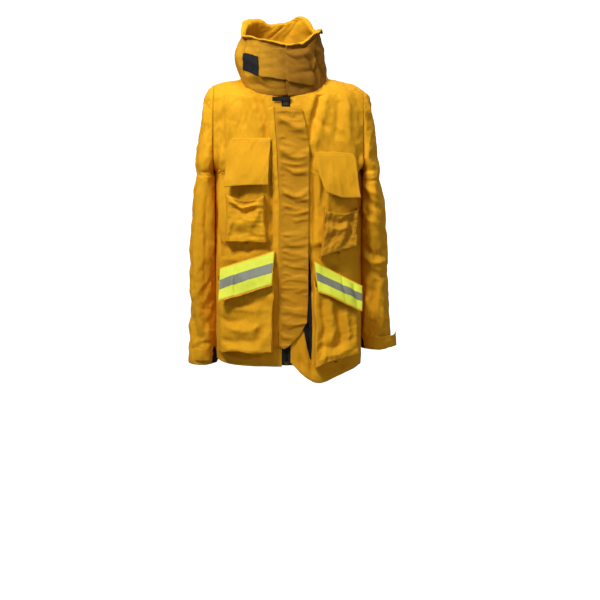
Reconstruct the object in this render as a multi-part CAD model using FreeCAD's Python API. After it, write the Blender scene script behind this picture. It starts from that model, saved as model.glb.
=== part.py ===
"""Turnout coat, as worn: a hollow cloth body with hanging sleeves, a stand collar with a throat strap,
a zipped front under a storm flap, two chest pockets and two cargo pockets with flaps, and reflective trim.

Millimetres, +Z up. The front faces -Y and the wearer's right is -X. The origin is the middle of the neck.
Every sub-part is written to parts/NODE.step as one or more closed solids.
"""

import FreeCAD, Part
import math
import os
from FreeCAD import Placement, Rotation, Vector

os.makedirs("parts", exist_ok=True)

# ---- driving dimensions ----------------------------------------------------------------------------
CLOTH = 3.0  # cloth of the body and sleeves, with its seams
THIN = 1.6  # facings, patches and tapes
GAP = 0.3  # between neighbours that touch on the real coat
FAR = 900.0  # longer than the coat, for cutting tools

ARMHOLE_X = 203.0  # the armhole seams lie in the planes X = +-ARMHOLE_X
SIDE_SEAM_Y = 8.0  # side and shoulder seams
FRONT_TOP_Y, FRONT_SLOPE = -116.0, 0.049  # the front edge line: Y = FRONT_TOP_Y + FRONT_SLOPE * Z

NECK_TILT = math.radians(25)  # the neck seam rises towards the back
NECK_X, NECK_Y, NECK_Z = -12.0, -17.0, 27.0  # its middle
COLLAR_HEIGHT = 116.0
COLLAR_TOP_TILT = math.radians(23)  # the rim's own slope

ZIP_X = -6.0  # centre line of the zip
ZIP_TOP_Z, ZIP_BOTTOM_Z = -22.0, -735.0
ZIP_HALF_GAP = 11.0  # from the zip's centre line to each front edge
ZIP_TAPE = 22.0
TEETH = 4.0  # width of one row of teeth
TEETH_GAP = 0.5  # from the centre line to each row, so that the slider's bridge can pass
SLIDER_Z = -32.0

HEM_RIGHT_Z = -739.0
HEM_BACK_Z = -748.0
HEM_LEFT = [(5, -726), (18, -740), (32, -757), (50, -772), (68, -783), (84, -786), (102, -782),
            (125, -772), (160, -760), (210, -750)]  # the left front sags
HEM_FACING = 40.0

# Body sections: height, middle X, half width, back Y, roundness (2 is an ellipse, more is boxier), and how
# far the front lies behind the front edge line, where the chest curves back to the shoulder seams.
BODY = [
    (-800, 0, 197, 150, 2.8, 0),
    (-650, 0, 199, 146, 2.8, 0),
    (-500, 0, 199, 140, 2.8, 0),
    (-350, 0, 199, 139, 2.8, 0),
    (-235, 0, 199, 141, 2.7, 0),
    (-175, 0, 228, 140, 2.5, 0),
    (-110, 0, 234, 130, 2.2, 0),
    (-60, -2, 238, 116, 1.9, 0),
    (-24, -5, 228, 101, 1.75, 0),
    (-5, -7, 212, 93, 1.8, 18),
    (12, -11, 192, 89, 1.9, 46),
    (22, -12, 155, 88, 2.0, 60),
    (28, -12, 122, 87, 2.1, 72),
    (36, -12, 115, 86, 2.2, 80),
    (95, -12, 106, 82, 2.2, 90),
]
# Sleeve sections: height, outer distance from the middle plane on the right and on the left, inner
# distance, half depth. They run on into the body above the armpit, and the armhole plane cuts them there.
SLEEVE = [
    (-770, 281, 281, 210, 60),
    (-580, 275, 276, 207, 72),
    (-430, 268, 268, 206, 82),
    (-300, 261, 260, 206, 86),
    (-225, 255, 250, 204, 85),
    (-160, 248, 240, 190, 77),
    (-100, 239, 231, 176, 70),
    (-50, 231, 224, 172, 56),
    (-18, 224, 219, 176, 42),
    (-2, 217, 213, 182, 28),
    (10, 208, 206, 190, 14),
]
LEFT_DROP = 14.0  # the left shoulder hangs lower
BODY_LEVELS = [-800, -740, -680, -620, -560, -500, -440, -380, -320, -270, -235, -205, -175, -145, -115,
               -90, -65, -45, -25, -10, 2, 12, 19, 25, 30, 38, 60, 95]
SLEEVE_LEVELS = [-770, -740, -700, -660, -620, -580, -540, -500, -460, -420, -380, -340, -300, -265, -230,
                 -195, -160, -130, -100, -75, -52, -34, -20, -8, 2, 10]
SLEEVE_Y = 5.0
SLEEVE_ROUND = 2.2
RIGHT_CUFF_Z, LEFT_CUFF_Z = -755.0, -712.0

# Collar rings, from the neck seam up: share of the height, middle X, middle Y, half width, half depth.
COLLAR = [
    (0.0, -12, -17, 113, 108),
    (0.3, -18, -19, 117, 105),
    (0.6, -22, -22, 117, 101),
    (1.0, -17, -25, 98, 92),
]

# Chest pockets and cargo pockets. A plane is (X, Y, Z of one point, yaw, pitch): yaw turns it round the
# body and pitch leans its foot outwards. Outlines are X and Z as seen from the front.
RIGHT_CHEST = {
    "plane": (-65, -155, -300, -13, 0),
    "front": [(-160, -264), (-66, -262), (-65, -402), (-163, -396)],
    "base": [(-168, -214), (-60, -212), (-58, -408), (-171, -402)],
    "mouth": -278,
    "flap_plane": (-45, -130, -127, -13, 12),
    "flap": [(-148, -128), (-45, -126), (-53, -249), (-172, -257), (-163, -158)],
    "patch": [(-140, -246), (-80, -242), (-80, -222), (-140, -226)],
}
LEFT_CHEST = {
    "plane": (92, -158, -350, 15, 0),
    "front": [(100, -296), (184, -300), (183, -415), (92, -436)],
    "base": [(96, -252), (190, -256), (189, -422), (84, -444)],
    "mouth": -318,
    "flap_plane": (67, -132, -165, 17, 12),
    "flap": [(67, -163), (172, -169), (180, -182), (192, -286), (145, -286), (99, -270)],
    "patch": [(112, -270), (176, -279), (176, -259), (112, -250)],
}
RIGHT_CARGO = {
    "plane": (-45, -181, -600, -13, 6),
    "front": [(-178, -528), (-38, -486), (-46, -692), (-170, -694)],
    "base": [(-199, -500), (-36, -470), (-42, -702), (-199, -700)],
    "mouth": -800,
    "flap_plane": (-35, -144, -423, -14, 27),
    "flap": [(-184, -472), (-35, -423), (-42, -512), (-186, -560)],
    "patch": [(-140, -536), (-80, -516), (-80, -496), (-140, -516)],
}
LEFT_CARGO = {
    "plane": (75, -181, -600, 14, 6),
    "front": [(74, -518), (186, -566), (182, -700), (76, -728)],
    "base": [(68, -500), (199, -545), (199, -708), (68, -736)],
    "mouth": -800,
    "flap_plane": (66, -143, -451, 15, 27),
    "flap": [(66, -451), (198, -519), (196, -583), (78, -530)],
    "patch": [(100, -523), (160, -550), (160, -530), (100, -503)],
}
POCKET_WALL = 2.5
TRIM_WIDTH, STRIPE_WIDTH = 76.0, 24.0
BACK_TRIM_Z = (-562.0, -486.0)
EYELET_R, EYELET_HOLE_R = 5.0, 2.6

STORM_FLAP = [
    (-36, -54), (38, -60), (46, -92), (55, -150), (55, -300), (52, -612),
    (31, -651), (6, -678), (-12, -689), (-26, -682),
]
STORM_LIFT = 4.2  # room under the storm flap for the slider and the strips
STORM_HOOKS = [(33, -110), (50, -150), (50, -600), (30, -638), (27, -600), (27, -150)]
STORM_LOOPS = [(37, -96), (60, -96), (62, -640), (60, -722), (52, -700), (40, -640)]
STRAP = [(-72, 34), (0, 18), (58, 8), (70, 12), (70, 140), (-68, 140)]
HANGER_Z = (74.0, 82.0)
LABEL_Z = (86.0, 112.0)
STRAP_TOP_DROP = 6.0  # the strap's top edge lies this far below the collar's
COLLAR_PATCH = [(-116, 50), (-74, 33), (-78, 77), (-118, 90)]


# ---- shapes ----------------------------------------------------------------------------------------
def closed_curve(points):
    """A smooth closed wire through the points."""
    curve = Part.BSplineCurve()
    curve.interpolate(Points=points, PeriodicFlag=True)
    return Part.Wire(curve.toShape())


def oval(middle_x, middle_y, half_x, half_y, power, place, count=28):
    """A superellipse; place(x, y) gives each of its points in space."""
    points = []
    for i in range(count):
        angle = 2 * math.pi * i / count
        c, s = math.cos(angle), math.sin(angle)
        x = middle_x + half_x * math.copysign(abs(c) ** (2 / power), c)
        y = middle_y + half_y * math.copysign(abs(s) ** (2 / power), s)
        points.append(place(x, y))
    return closed_curve(points)


def graded(rows, levels):
    """The rows' numbers at each level, in smooth steps that never overshoot the rows."""
    heights = [row[0] for row in rows]
    gaps = [b - a for a, b in zip(heights, heights[1:])]
    columns = []
    for k in range(1, len(rows[0])):
        values = [row[k] for row in rows]
        steep = [(b - a) / gap for a, b, gap in zip(values, values[1:], gaps)]
        slopes = [steep[0]]
        for before, after, gap_a, gap_b in zip(steep, steep[1:], gaps, gaps[1:]):
            w1, w2 = 2 * gap_b + gap_a, gap_b + 2 * gap_a
            slopes.append(0.0 if before * after <= 0 else (w1 + w2) / (w1 / before + w2 / after))
        slopes.append(steep[-1])
        columns.append((values, slopes))
    out = []
    for level in levels:
        i = max(0, min(len(gaps) - 1, sum(1 for h in heights if h <= level) - 1))
        t, gap = (level - heights[i]) / gaps[i], gaps[i]
        row = [level]
        for values, slopes in columns:
            start = (2 * t ** 3 - 3 * t * t + 1) * values[i] + (t ** 3 - 2 * t * t + t) * gap * slopes[i]
            end = (3 * t * t - 2 * t ** 3) * values[i + 1] + (t ** 3 - t * t) * gap * slopes[i + 1]
            row.append(start + end)
        out.append(row)
    return out


def body_loft(grow):
    """The body's outer form as one solid, larger by grow all round."""
    wires = []
    for z, middle_x, half_x, back, power, setback in graded(BODY, BODY_LEVELS):
        front = FRONT_TOP_Y + FRONT_SLOPE * z + setback
        middle_y, half_y = (front + back) / 2, (back - front) / 2
        level = z + grow
        wires.append(oval(middle_x, middle_y, half_x + grow, half_y + grow, power,
                          lambda x, y, level=level: Vector(x, y, level)))
    return Part.makeLoft(wires, True, True)


def sleeve_loft(side, grow, foot):
    """One sleeve's outer form down to foot: side is -1 for the wearer's right and 1 for the left."""
    wires = []
    for z, right, left, inner, depth in graded(SLEEVE, SLEEVE_LEVELS):
        outer = right if side < 0 else left
        drop = LEFT_DROP if side > 0 and z > -600 else 0.0
        level = z + grow - drop
        middle, half = (outer + inner) / 2, (outer - inner) / 2
        wires.append(oval(middle, SLEEVE_Y, half + grow, depth + grow, SLEEVE_ROUND,
                          lambda x, y, level=level: Vector(x, y, level)))
    loft = Part.makeLoft(wires, True, True)
    loft = loft.common(Part.makeBox(FAR, FAR, FAR, Vector(ARMHOLE_X + 1, -FAR / 2, foot)))
    return loft if side > 0 else loft.mirror(Vector(0, 0, 0), Vector(1, 0, 0))


def collar_loft(grow, low=0.0, high=1.0):
    """The collar's form between two shares of its height, larger by grow all round."""
    wires = []
    for share, middle_x, middle_y, half_x, half_y in graded(COLLAR, [i / 8 for i in range(9)]):
        share = low + (high - low) * share
        lift = NECK_Z + COLLAR_HEIGHT * share
        tilt = NECK_TILT + (COLLAR_TOP_TILT - NECK_TILT) * share
        wires.append(oval(middle_x, 0, half_x + grow, half_y + grow, 2.2,
                          lambda x, y, m=middle_y, lift=lift, tilt=tilt: Vector(
                              x, m + y * math.cos(tilt),
                              lift + (m - NECK_Y) * math.tan(tilt) + y * math.sin(tilt))))
    return Part.makeLoft(wires, True, True)


def front_prism(outline, low_y=-FAR / 2, high_y=0.0):
    """An outline of X and Z seen from the front, as a prism from low_y to high_y."""
    points = [Vector(x, low_y, z) for x, z in outline]
    face = Part.Face(Part.makePolygon(points + points[:1]))
    return face.extrude(Vector(0, high_y - low_y, 0))


def block(x0, x1, y0, y1, z0, z1):
    """A box between two corners."""
    return Part.makeBox(x1 - x0, y1 - y0, z1 - z0, Vector(x0, y0, z0))


class Plane:
    """A sloping plane that flat pieces lie in."""

    def __init__(self, x, y, z, yaw, pitch):
        self.point = Vector(x, y, z)
        yaw, pitch = math.radians(yaw), math.radians(pitch)
        self.normal = Vector(math.sin(yaw) * math.cos(pitch), -math.cos(yaw) * math.cos(pitch), math.sin(pitch))

    def at(self, x, z, lift=0.0):
        """The plane's point seen at X and Z from the front, moved out along the normal by lift."""
        n, p = self.normal, self.point
        y = p.y - (n.x * (x - p.x) + n.z * (z - p.z)) / n.y
        return Vector(x, y, z) + n * lift

    def wire(self, outline, lift=0.0):
        points = [self.at(x, z, lift) for x, z in outline]
        return Part.makePolygon(points + points[:1])

    def plate(self, outline, low, high):
        """A flat plate with that outline, from low to high along the normal."""
        return Part.Face(self.wire(outline, low)).extrude(self.normal * (high - low))


def front_plane(x, z):
    return FRONT_TOP_Y + FRONT_SLOPE * z


FRONT = Plane(0, FRONT_TOP_Y, 0, 0, math.degrees(math.atan(FRONT_SLOPE)))


def shrink(outline, margin):
    """The outline moved towards its middle by about margin on every side."""
    middle_x = sum(x for x, z in outline) / len(outline)
    middle_z = sum(z for x, z in outline) / len(outline)
    half_x = max(abs(x - middle_x) for x, z in outline)
    half_z = max(abs(z - middle_z) for x, z in outline)
    return [(middle_x + (x - middle_x) * (1 - margin / half_x), middle_z + (z - middle_z) * (1 - margin / half_z))
            for x, z in outline]


def band(outline, low, high):
    """The part of a four-sided outline between two shares of its height, counted from its top edge."""
    top_a, top_b, foot_b, foot_a = outline

    def between(top, foot, share):
        return (top[0] + (foot[0] - top[0]) * share, top[1] + (foot[1] - top[1]) * share)

    return [between(top_a, foot_a, low), between(top_b, foot_b, low),
            between(top_b, foot_b, high), between(top_a, foot_a, high)]


def solids(*shapes):
    """One compound of every solid in the shapes."""
    return Part.makeCompound([s for shape in shapes for s in shape.Solids])


def save(name, shape):
    shape = solids(shape)
    assert shape.Solids and all(s.isValid() for s in shape.Solids), name
    shape.exportStep(f"parts/{name}.step")


# ---- the body --------------------------------------------------------------------------------------
def neck_cutter(lift=0.0, tilt=NECK_TILT):
    """Everything above the neck seam's plane, moved up by lift."""
    cutter = Part.makeBox(FAR, FAR, FAR, Vector(-FAR / 2, -FAR / 2, 0))
    turn = Rotation(Vector(1, 0, 0), math.degrees(tilt))
    return cutter.transformed(Placement(Vector(NECK_X, NECK_Y, NECK_Z + lift), turn).toMatrix())


def body_shell(outer, inner):
    """The body's cloth between two offsets, open at the neck, the hem and the armholes."""
    shell = body_loft(outer).cut(body_loft(inner))
    shell = shell.cut(neck_cutter(-GAP))
    return shell.common(block(-ARMHOLE_X, ARMHOLE_X, -FAR, FAR, -FAR, FAR))


def hem_left_cutter():
    """Everything below the left front's sagging hem."""
    return front_prism(HEM_LEFT + [(FAR, HEM_LEFT[-1][1]), (FAR, -FAR), (-FAR, -FAR), (-FAR, HEM_LEFT[0][1])],
                       -FAR, FAR)


def make_body():
    shell = body_shell(0, -CLOTH)
    facing = body_shell(-CLOTH - GAP, -CLOTH - GAP - THIN)
    right = block(-FAR, ZIP_X - ZIP_HALF_GAP, -FAR, SIDE_SEAM_Y - GAP, HEM_RIGHT_Z, FAR)
    left = block(ZIP_X + ZIP_HALF_GAP, FAR, -FAR, SIDE_SEAM_Y - GAP, -FAR, FAR)
    back = block(-FAR, FAR, SIDE_SEAM_Y, FAR, HEM_BACK_Z, FAR)
    save("right_front_panel", shell.common(right))
    save("left_front_panel", shell.common(left).cut(hem_left_cutter()))
    save("back_panel", shell.common(back))

    tape_edge = ZIP_TAPE + 14
    save("right_front_facing", facing.common(block(-72, ZIP_X - tape_edge, -FAR, 0, HEM_RIGHT_Z + 8, -60)))
    save("left_front_facing", facing.common(block(ZIP_X + tape_edge, 60, -FAR, 0, HEM_RIGHT_Z + 8, -60)))
    hems = [
        facing.common(block(-FAR, -74, -FAR, SIDE_SEAM_Y - GAP, HEM_RIGHT_Z + 2, HEM_RIGHT_Z + HEM_FACING)),
        facing.common(block(62, FAR, -FAR, SIDE_SEAM_Y - GAP, HEM_RIGHT_Z + 2, HEM_RIGHT_Z + HEM_FACING)),
        facing.common(block(-FAR, FAR, SIDE_SEAM_Y, FAR, HEM_BACK_Z + 2, HEM_BACK_Z + HEM_FACING)),
    ]
    save("hem_facing", solids(*hems))


def make_collar():
    outer, inner = collar_loft(0), collar_loft(-CLOTH)
    lining, hollow = collar_loft(-CLOTH - GAP), collar_loft(-CLOTH - GAP - THIN)
    ends = block(ZIP_X - 0.4, ZIP_X + 0.4, -FAR, -40, -FAR, FAR)  # where the collar's ends meet
    save("collar_shell", outer.cut(inner).cut(ends))
    save("collar_lining", lining.cut(hollow).cut(ends))
    on_collar = collar_loft(THIN + GAP).cut(collar_loft(GAP / 2))
    save("collar_loop_patch", on_collar.common(front_prism(COLLAR_PATCH)))

    top = neck_cutter(COLLAR_HEIGHT - STRAP_TOP_DROP, COLLAR_TOP_TILT)
    strap_zone = front_prism(STRAP, high_y=-44)
    strap = collar_loft(2 * GAP + THIN + 2.4).cut(collar_loft(2 * GAP + THIN))
    save("collar_strap", strap.common(strap_zone).cut(top))
    hooks = collar_loft(2 * GAP + THIN - 0.1).cut(collar_loft(GAP))
    save("collar_strap_hook_patch", hooks.common(front_prism([(-68, 40), (-30, 32), (-30, 74), (-68, 80)])))

    back_y = NECK_Y + 98 - CLOTH - THIN
    low, high = HANGER_Z
    loop_outer = block(NECK_X - 36, NECK_X + 36, back_y - 16, back_y - 6, low, high)
    loop_inner = block(NECK_X - 32, NECK_X + 32, back_y - 11.5, back_y + 20, low - 12, high + 10)
    ends = [block(x, x + 6, back_y - 12, back_y + 8, low, high) for x in (NECK_X - 36, NECK_X + 30)]
    loop = loop_outer.fuse(ends)
    loop = loop.cut(collar_loft(15).cut(collar_loft(-CLOTH - THIN - 2 * GAP)))
    save("hanger_loop", loop.cut(loop_inner).removeSplitter())
    label = collar_loft(-CLOTH - THIN - 2 * GAP).cut(collar_loft(-CLOTH - THIN - 2 * GAP - 1))
    save("neck_label", label.common(block(NECK_X - 28, NECK_X + 28, 0, FAR, *LABEL_Z)))


# ---- the front closure -----------------------------------------------------------------------------
def strip(x0, x1, z0, z1, low, high):
    """A straight strip on the front plane between two lifts."""
    return FRONT.plate([(x0, z0), (x1, z0), (x1, z1), (x0, z1)], low, high)


def make_zip():
    tape_low, tape_high = -CLOTH - THIN - GAP, -CLOTH - GAP
    tape_mid = (tape_low + tape_high) / 2
    # The cloth curves back a little towards the tapes' outer edges, so the tapes lie a little further in.
    tape_low, tape_high = tape_low - 1.0, tape_high - 1.0
    tape_mid -= 1.0
    inside = body_loft(-CLOTH - GAP)
    for side, name in ((-1, "right"), (1, "left")):
        near, far = ZIP_X + side * (TEETH + 0.8), ZIP_X + side * (TEETH + 0.8 + ZIP_TAPE)
        tape = strip(min(near, far), max(near, far), ZIP_BOTTOM_Z, ZIP_TOP_Z, tape_low, tape_high)
        save(f"zipper_tape_{name}", tape.common(inside))
        near, far = ZIP_X + side * TEETH_GAP, ZIP_X + side * (TEETH_GAP + TEETH)
        save(f"zipper_teeth_{name}",
             strip(min(near, far), max(near, far), ZIP_BOTTOM_Z + 12, ZIP_TOP_Z - 6, tape_mid - 1.5, tape_mid + 1.5))
    stops = [strip(ZIP_X + s * 2.6 - 1.6, ZIP_X + s * 2.6 + 1.6, ZIP_TOP_Z - 5, ZIP_TOP_Z, tape_mid - 2, tape_mid + 2)
             for s in (-1, 1)]
    save("zipper_top_stops", solids(*stops))
    box = strip(ZIP_X - 6, ZIP_X + 6, ZIP_BOTTOM_Z, ZIP_BOTTOM_Z + 11, tape_mid - 2.6, tape_mid + 2.6)
    save("zipper_bottom_box", box.cut(strip(-FAR, ZIP_X - 4.3, -FAR, 0, tape_low - 0.1, tape_high + 0.1))
         .cut(strip(ZIP_X + 4.3, FAR, -FAR, 0, tape_low - 0.1, tape_high + 0.1)))

    # The slider is two plates and a bridge above the teeth. Its channel clears the teeth and tapes.
    z0, z1 = SLIDER_Z - 9, SLIDER_Z + 3
    upper = strip(ZIP_X - 7, ZIP_X + 7, z0, z1, tape_mid + 2.2, tape_mid + 4.0)
    lower = strip(ZIP_X - 7, ZIP_X + 7, z0, z1, tape_mid - 4.0, tape_mid - 2.2)
    rims = [strip(ZIP_X + s * 6.9 - 0.6, ZIP_X + s * 6.9 + 0.6, z0, z1, low, high)
            for s in (-1, 1) for low, high in ((tape_mid + 1.1, tape_mid + 2.4), (tape_mid - 2.4, tape_mid - 1.1))]
    ears = [strip(ZIP_X + s * 2.6 - 0.7, ZIP_X + s * 2.6 + 0.7, SLIDER_Z - 6, SLIDER_Z, tape_mid + 3.9, tape_mid + 6.4)
            for s in (-1, 1)]
    slider = upper.fuse([lower] + rims + ears)
    bridge = strip(ZIP_X - 0.2, ZIP_X + 0.2, z0, z1, tape_mid - 2.4, tape_mid + 2.4)
    save("zipper_slider", slider.fuse(bridge).removeSplitter())
    pin_at = FRONT.at(ZIP_X, SLIDER_Z - 3, tape_mid + 5.4)
    pull = strip(ZIP_X - 1.6, ZIP_X + 1.6, SLIDER_Z - 22, SLIDER_Z - 2, tape_mid + 4.6, tape_mid + 6.2)
    grip = strip(ZIP_X - 3.5, ZIP_X + 3.5, SLIDER_Z - 23, SLIDER_Z - 10, tape_mid + 4.4, tape_mid + 6.4)
    pin = Part.makeCylinder(0.5, 3.4, pin_at - Vector(1.7, 0, 0), Vector(1, 0, 0))
    save("zipper_pull", pull.fuse([pin]).cut(grip))
    save("zipper_pull_grip", grip)
    print("slider pin", tuple(round(c, 2) for c in pin_at))


def make_storm_flap():
    save("storm_flap", FRONT.plate(STORM_FLAP, STORM_LIFT, STORM_LIFT + CLOTH))
    save("storm_flap_hook_strip", FRONT.plate(STORM_HOOKS, STORM_LIFT - THIN - GAP / 2, STORM_LIFT - GAP / 2))
    save("storm_loop_strip", FRONT.plate(STORM_LOOPS, GAP, GAP + THIN))
    throat = FRONT.plate([(-42, -31), (6, -31), (6, -20), (-42, -20)], 3.2, 4.8)
    save("throat_loop_patch", throat)


# ---- pockets and flaps -----------------------------------------------------------------------------
def pocket(spec, body):
    """A bellows pocket: a front, two gussets and a floor that flare back to the body, open at the top."""
    plane = Plane(*spec["plane"])
    wall = POCKET_WALL
    deep = Plane(spec["plane"][0], spec["plane"][1] + 75, spec["plane"][2], spec["plane"][3], 0)
    outer = Part.makeLoft([deep.wire(spec["base"]), plane.wire(spec["front"])], True, True)
    top = 60  # the hollow runs out past the mouth

    def inside(outline, lift):
        a, b, c, d = outline
        return [(a[0] + wall, a[1] + top), (b[0] - wall, b[1] + top), (c[0] - wall, c[1] + wall), (d[0] + wall, d[1] + wall)]

    hollow = Part.makeLoft([deep.wire(inside(spec["base"], 0), -30), plane.wire(inside(spec["front"], 0), -wall)], True, True)
    shape = outer.cut(hollow).cut(body)
    if spec["mouth"] > -700:  # the chest pockets' fronts hang low, below their gussets
        shape = shape.cut(front_prism([(-FAR, spec["mouth"]), (FAR, spec["mouth"]), (FAR, 0), (-FAR, 0)],
                                      -FAR, spec["plane"][1] + 9))
    return shape


def make_pockets():
    body = body_loft(GAP)
    holes = []
    eyelets = []
    for name, spec in (("right_chest", RIGHT_CHEST), ("left_chest", LEFT_CHEST),
                       ("right_cargo", RIGHT_CARGO), ("left_cargo", LEFT_CARGO)):
        front = spec["front"]
        plane = Plane(*spec["plane"])
        shape = pocket(spec, body)
        # The drain eyelet is in the middle of the pocket's floor.
        x = (front[2][0] + front[3][0]) / 2
        z = (front[2][1] + front[3][1]) / 2
        at = plane.at(x, z, -10.5)
        hole = Part.makeCylinder(EYELET_R - 1.2, 30, at - Vector(0, 0, 15))
        shape = shape.cut(hole)
        ring = Part.makeCylinder(EYELET_R, 1.0, at - Vector(0, 0, 6))
        eyelets.append(ring.cut(Part.makeCylinder(EYELET_HOLE_R, 4, at - Vector(0, 0, 8))))
        holes.append(shape)
        save(f"{name}_pocket", shape)
    save("pocket_drain_eyelets", solids(*eyelets))


def make_flaps():
    loops_chest, loops_cargo = [], []
    for name, spec in (("right_chest", RIGHT_CHEST), ("left_chest", LEFT_CHEST),
                       ("right_cargo", RIGHT_CARGO), ("left_cargo", LEFT_CARGO)):
        plane = Plane(*spec["flap_plane"])
        save(f"{name}_flap", plane.plate(spec["flap"], 0, CLOTH))
        save(f"{name}_flap_hooks", plane.plate(shrink(spec["patch"], 1), -THIN, -0.05))
        if "cargo" in name:
            tape = shrink(spec["flap"], 3)
            save(f"{name}_trim_tape", plane.plate(tape, CLOTH + 0.05, CLOTH + 0.75))
            stripe = band(tape, 0.5 - STRIPE_WIDTH / TRIM_WIDTH / 2, 0.5 + STRIPE_WIDTH / TRIM_WIDTH / 2)
            save(f"{name}_trim_stripe", plane.plate(stripe, CLOTH + 0.8, CLOTH + 1.2))
        hinge_a, hinge_b = plane.at(*spec["flap"][0]), plane.at(*spec["flap"][1])
        axis = (hinge_b - hinge_a).normalize()
        print(name, "hinge", tuple(round(c, 2) for c in hinge_a), tuple(round(c, 5) for c in axis))
    for spec in (RIGHT_CHEST, LEFT_CHEST, RIGHT_CARGO, LEFT_CARGO):
        plane = Plane(*spec["plane"])
        a, b = spec["front"][0], spec["front"][1]
        chest = spec["mouth"] > -700
        middle, half = (a[0] + b[0]) / 2, 26.0
        rise = 0.0 if chest else (b[1] - a[1]) / (b[0] - a[0]) * half
        top = spec["mouth"] - 4 if chest else (a[1] + b[1]) / 2 - 3
        patch = plane.plate([(middle - half, top - 14 - rise), (middle + half, top - 14 + rise),
                             (middle + half, top + rise), (middle - half, top - rise)], 0.1, 1.3)
        (loops_chest if chest else loops_cargo).append(patch)
    save("chest_pocket_loop_patches", solids(*loops_chest))
    save("cargo_pocket_loop_patches", solids(*loops_cargo))


def make_back_trim():
    foot, top = BACK_TRIM_Z
    middle = (foot + top) / 2
    back = block(-FAR, FAR, SIDE_SEAM_Y + 20, FAR, foot, top)
    save("back_trim_tape", body_loft(GAP + 0.9).cut(body_loft(GAP)).common(back))
    stripe = block(-FAR, FAR, SIDE_SEAM_Y + 20, FAR, middle - STRIPE_WIDTH / 2, middle + STRIPE_WIDTH / 2)
    save("back_trim_stripe", body_loft(GAP + 1.5).cut(body_loft(GAP + 1.0)).common(stripe))


# ---- sleeves ---------------------------------------------------------------------------------------
def curved_band(points, thickness, z0, z1):
    """An upright band that follows the points, given as X and Y, with its thickness to their right."""
    inner = Part.BSplineCurve()
    inner.interpolate([Vector(x, y, z0) for x, y in points])
    ways = []
    for share in range(len(points) * 2 - 1):
        t = inner.FirstParameter + (inner.LastParameter - inner.FirstParameter) * share / (len(points) * 2 - 2)
        way = inner.tangent(t)[0]
        ways.append(inner.value(t) + Vector(way.y, -way.x, 0) * thickness)
    outer = Part.BSplineCurve()
    outer.interpolate(ways)
    ends = [Part.makeLine(inner.EndPoint, outer.EndPoint), Part.makeLine(outer.StartPoint, inner.StartPoint)]
    face = Part.Face(Part.Wire([inner.toShape(), ends[0], outer.toShape(), ends[1]]))
    return face.extrude(Vector(0, 0, z1 - z0))


def make_sleeve(name, side, foot):
    shell = sleeve_loft(side, 0, foot).cut(sleeve_loft(side, -CLOTH, foot - 10))
    slit_x = side * 228
    slit = block(slit_x - 4, slit_x + 4, -FAR, SLEEVE_Y, foot - 10, foot + 78)
    save(f"{name}_sleeve", shell.cut(slit))
    facing = sleeve_loft(side, -CLOTH - GAP, foot + 2).cut(sleeve_loft(side, -CLOTH - GAP - THIN, foot - 10))
    low = block(-FAR, FAR, -FAR, FAR, foot - 20, foot + 34)
    save(f"{name}_cuff_facing", facing.common(low).cut(slit))


def make_cuff_tabs():
    right = [(-262, -56), (-243, -66), (-224, -58), (-213, -38)]
    save("right_cuff_tab", curved_band(right, -2.4, RIGHT_CUFF_Z + 14, RIGHT_CUFF_Z + 50))
    left = [(218, -50), (240, -67), (270, -61), (292, -36), (301, 2)]
    save("left_cuff_tab", curved_band(left, 2.4, LEFT_CUFF_Z + 4, LEFT_CUFF_Z + 42))


make_body()
make_collar()
make_zip()
make_storm_flap()
make_pockets()
make_flaps()
make_back_trim()
make_sleeve("right", -1, RIGHT_CUFF_Z)
make_sleeve("left", 1, LEFT_CUFF_Z)
make_cuff_tabs()
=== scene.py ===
"""The turnout coat's looks: cloth panels, pockets, flaps, trim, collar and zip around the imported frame."""

import math

import bpy
import numpy as np
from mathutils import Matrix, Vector


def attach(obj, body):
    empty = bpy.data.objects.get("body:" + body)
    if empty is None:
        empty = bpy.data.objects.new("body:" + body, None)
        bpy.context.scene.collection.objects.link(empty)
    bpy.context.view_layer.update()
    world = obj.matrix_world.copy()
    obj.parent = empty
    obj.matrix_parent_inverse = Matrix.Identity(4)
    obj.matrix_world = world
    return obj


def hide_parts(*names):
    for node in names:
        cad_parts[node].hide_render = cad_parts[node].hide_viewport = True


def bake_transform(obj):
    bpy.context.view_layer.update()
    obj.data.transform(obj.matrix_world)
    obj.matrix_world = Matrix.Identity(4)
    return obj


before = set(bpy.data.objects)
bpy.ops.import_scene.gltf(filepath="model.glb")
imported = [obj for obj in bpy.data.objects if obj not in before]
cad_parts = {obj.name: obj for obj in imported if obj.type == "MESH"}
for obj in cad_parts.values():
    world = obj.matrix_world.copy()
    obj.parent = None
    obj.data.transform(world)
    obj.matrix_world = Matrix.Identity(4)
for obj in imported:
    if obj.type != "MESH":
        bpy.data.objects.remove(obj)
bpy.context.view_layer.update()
MM = 0.001
BODY_AXIS = (0.0, 10.0)  # the body's axis, X and Y, which tells a panel's outer face from its inner one
PANEL, POCKET, FACING = 3.0, 2.4, 1.6  # thickness of the commonest cloths
BEHIND = -3.4  # how far behind a panel's outer face its facings lie

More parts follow.
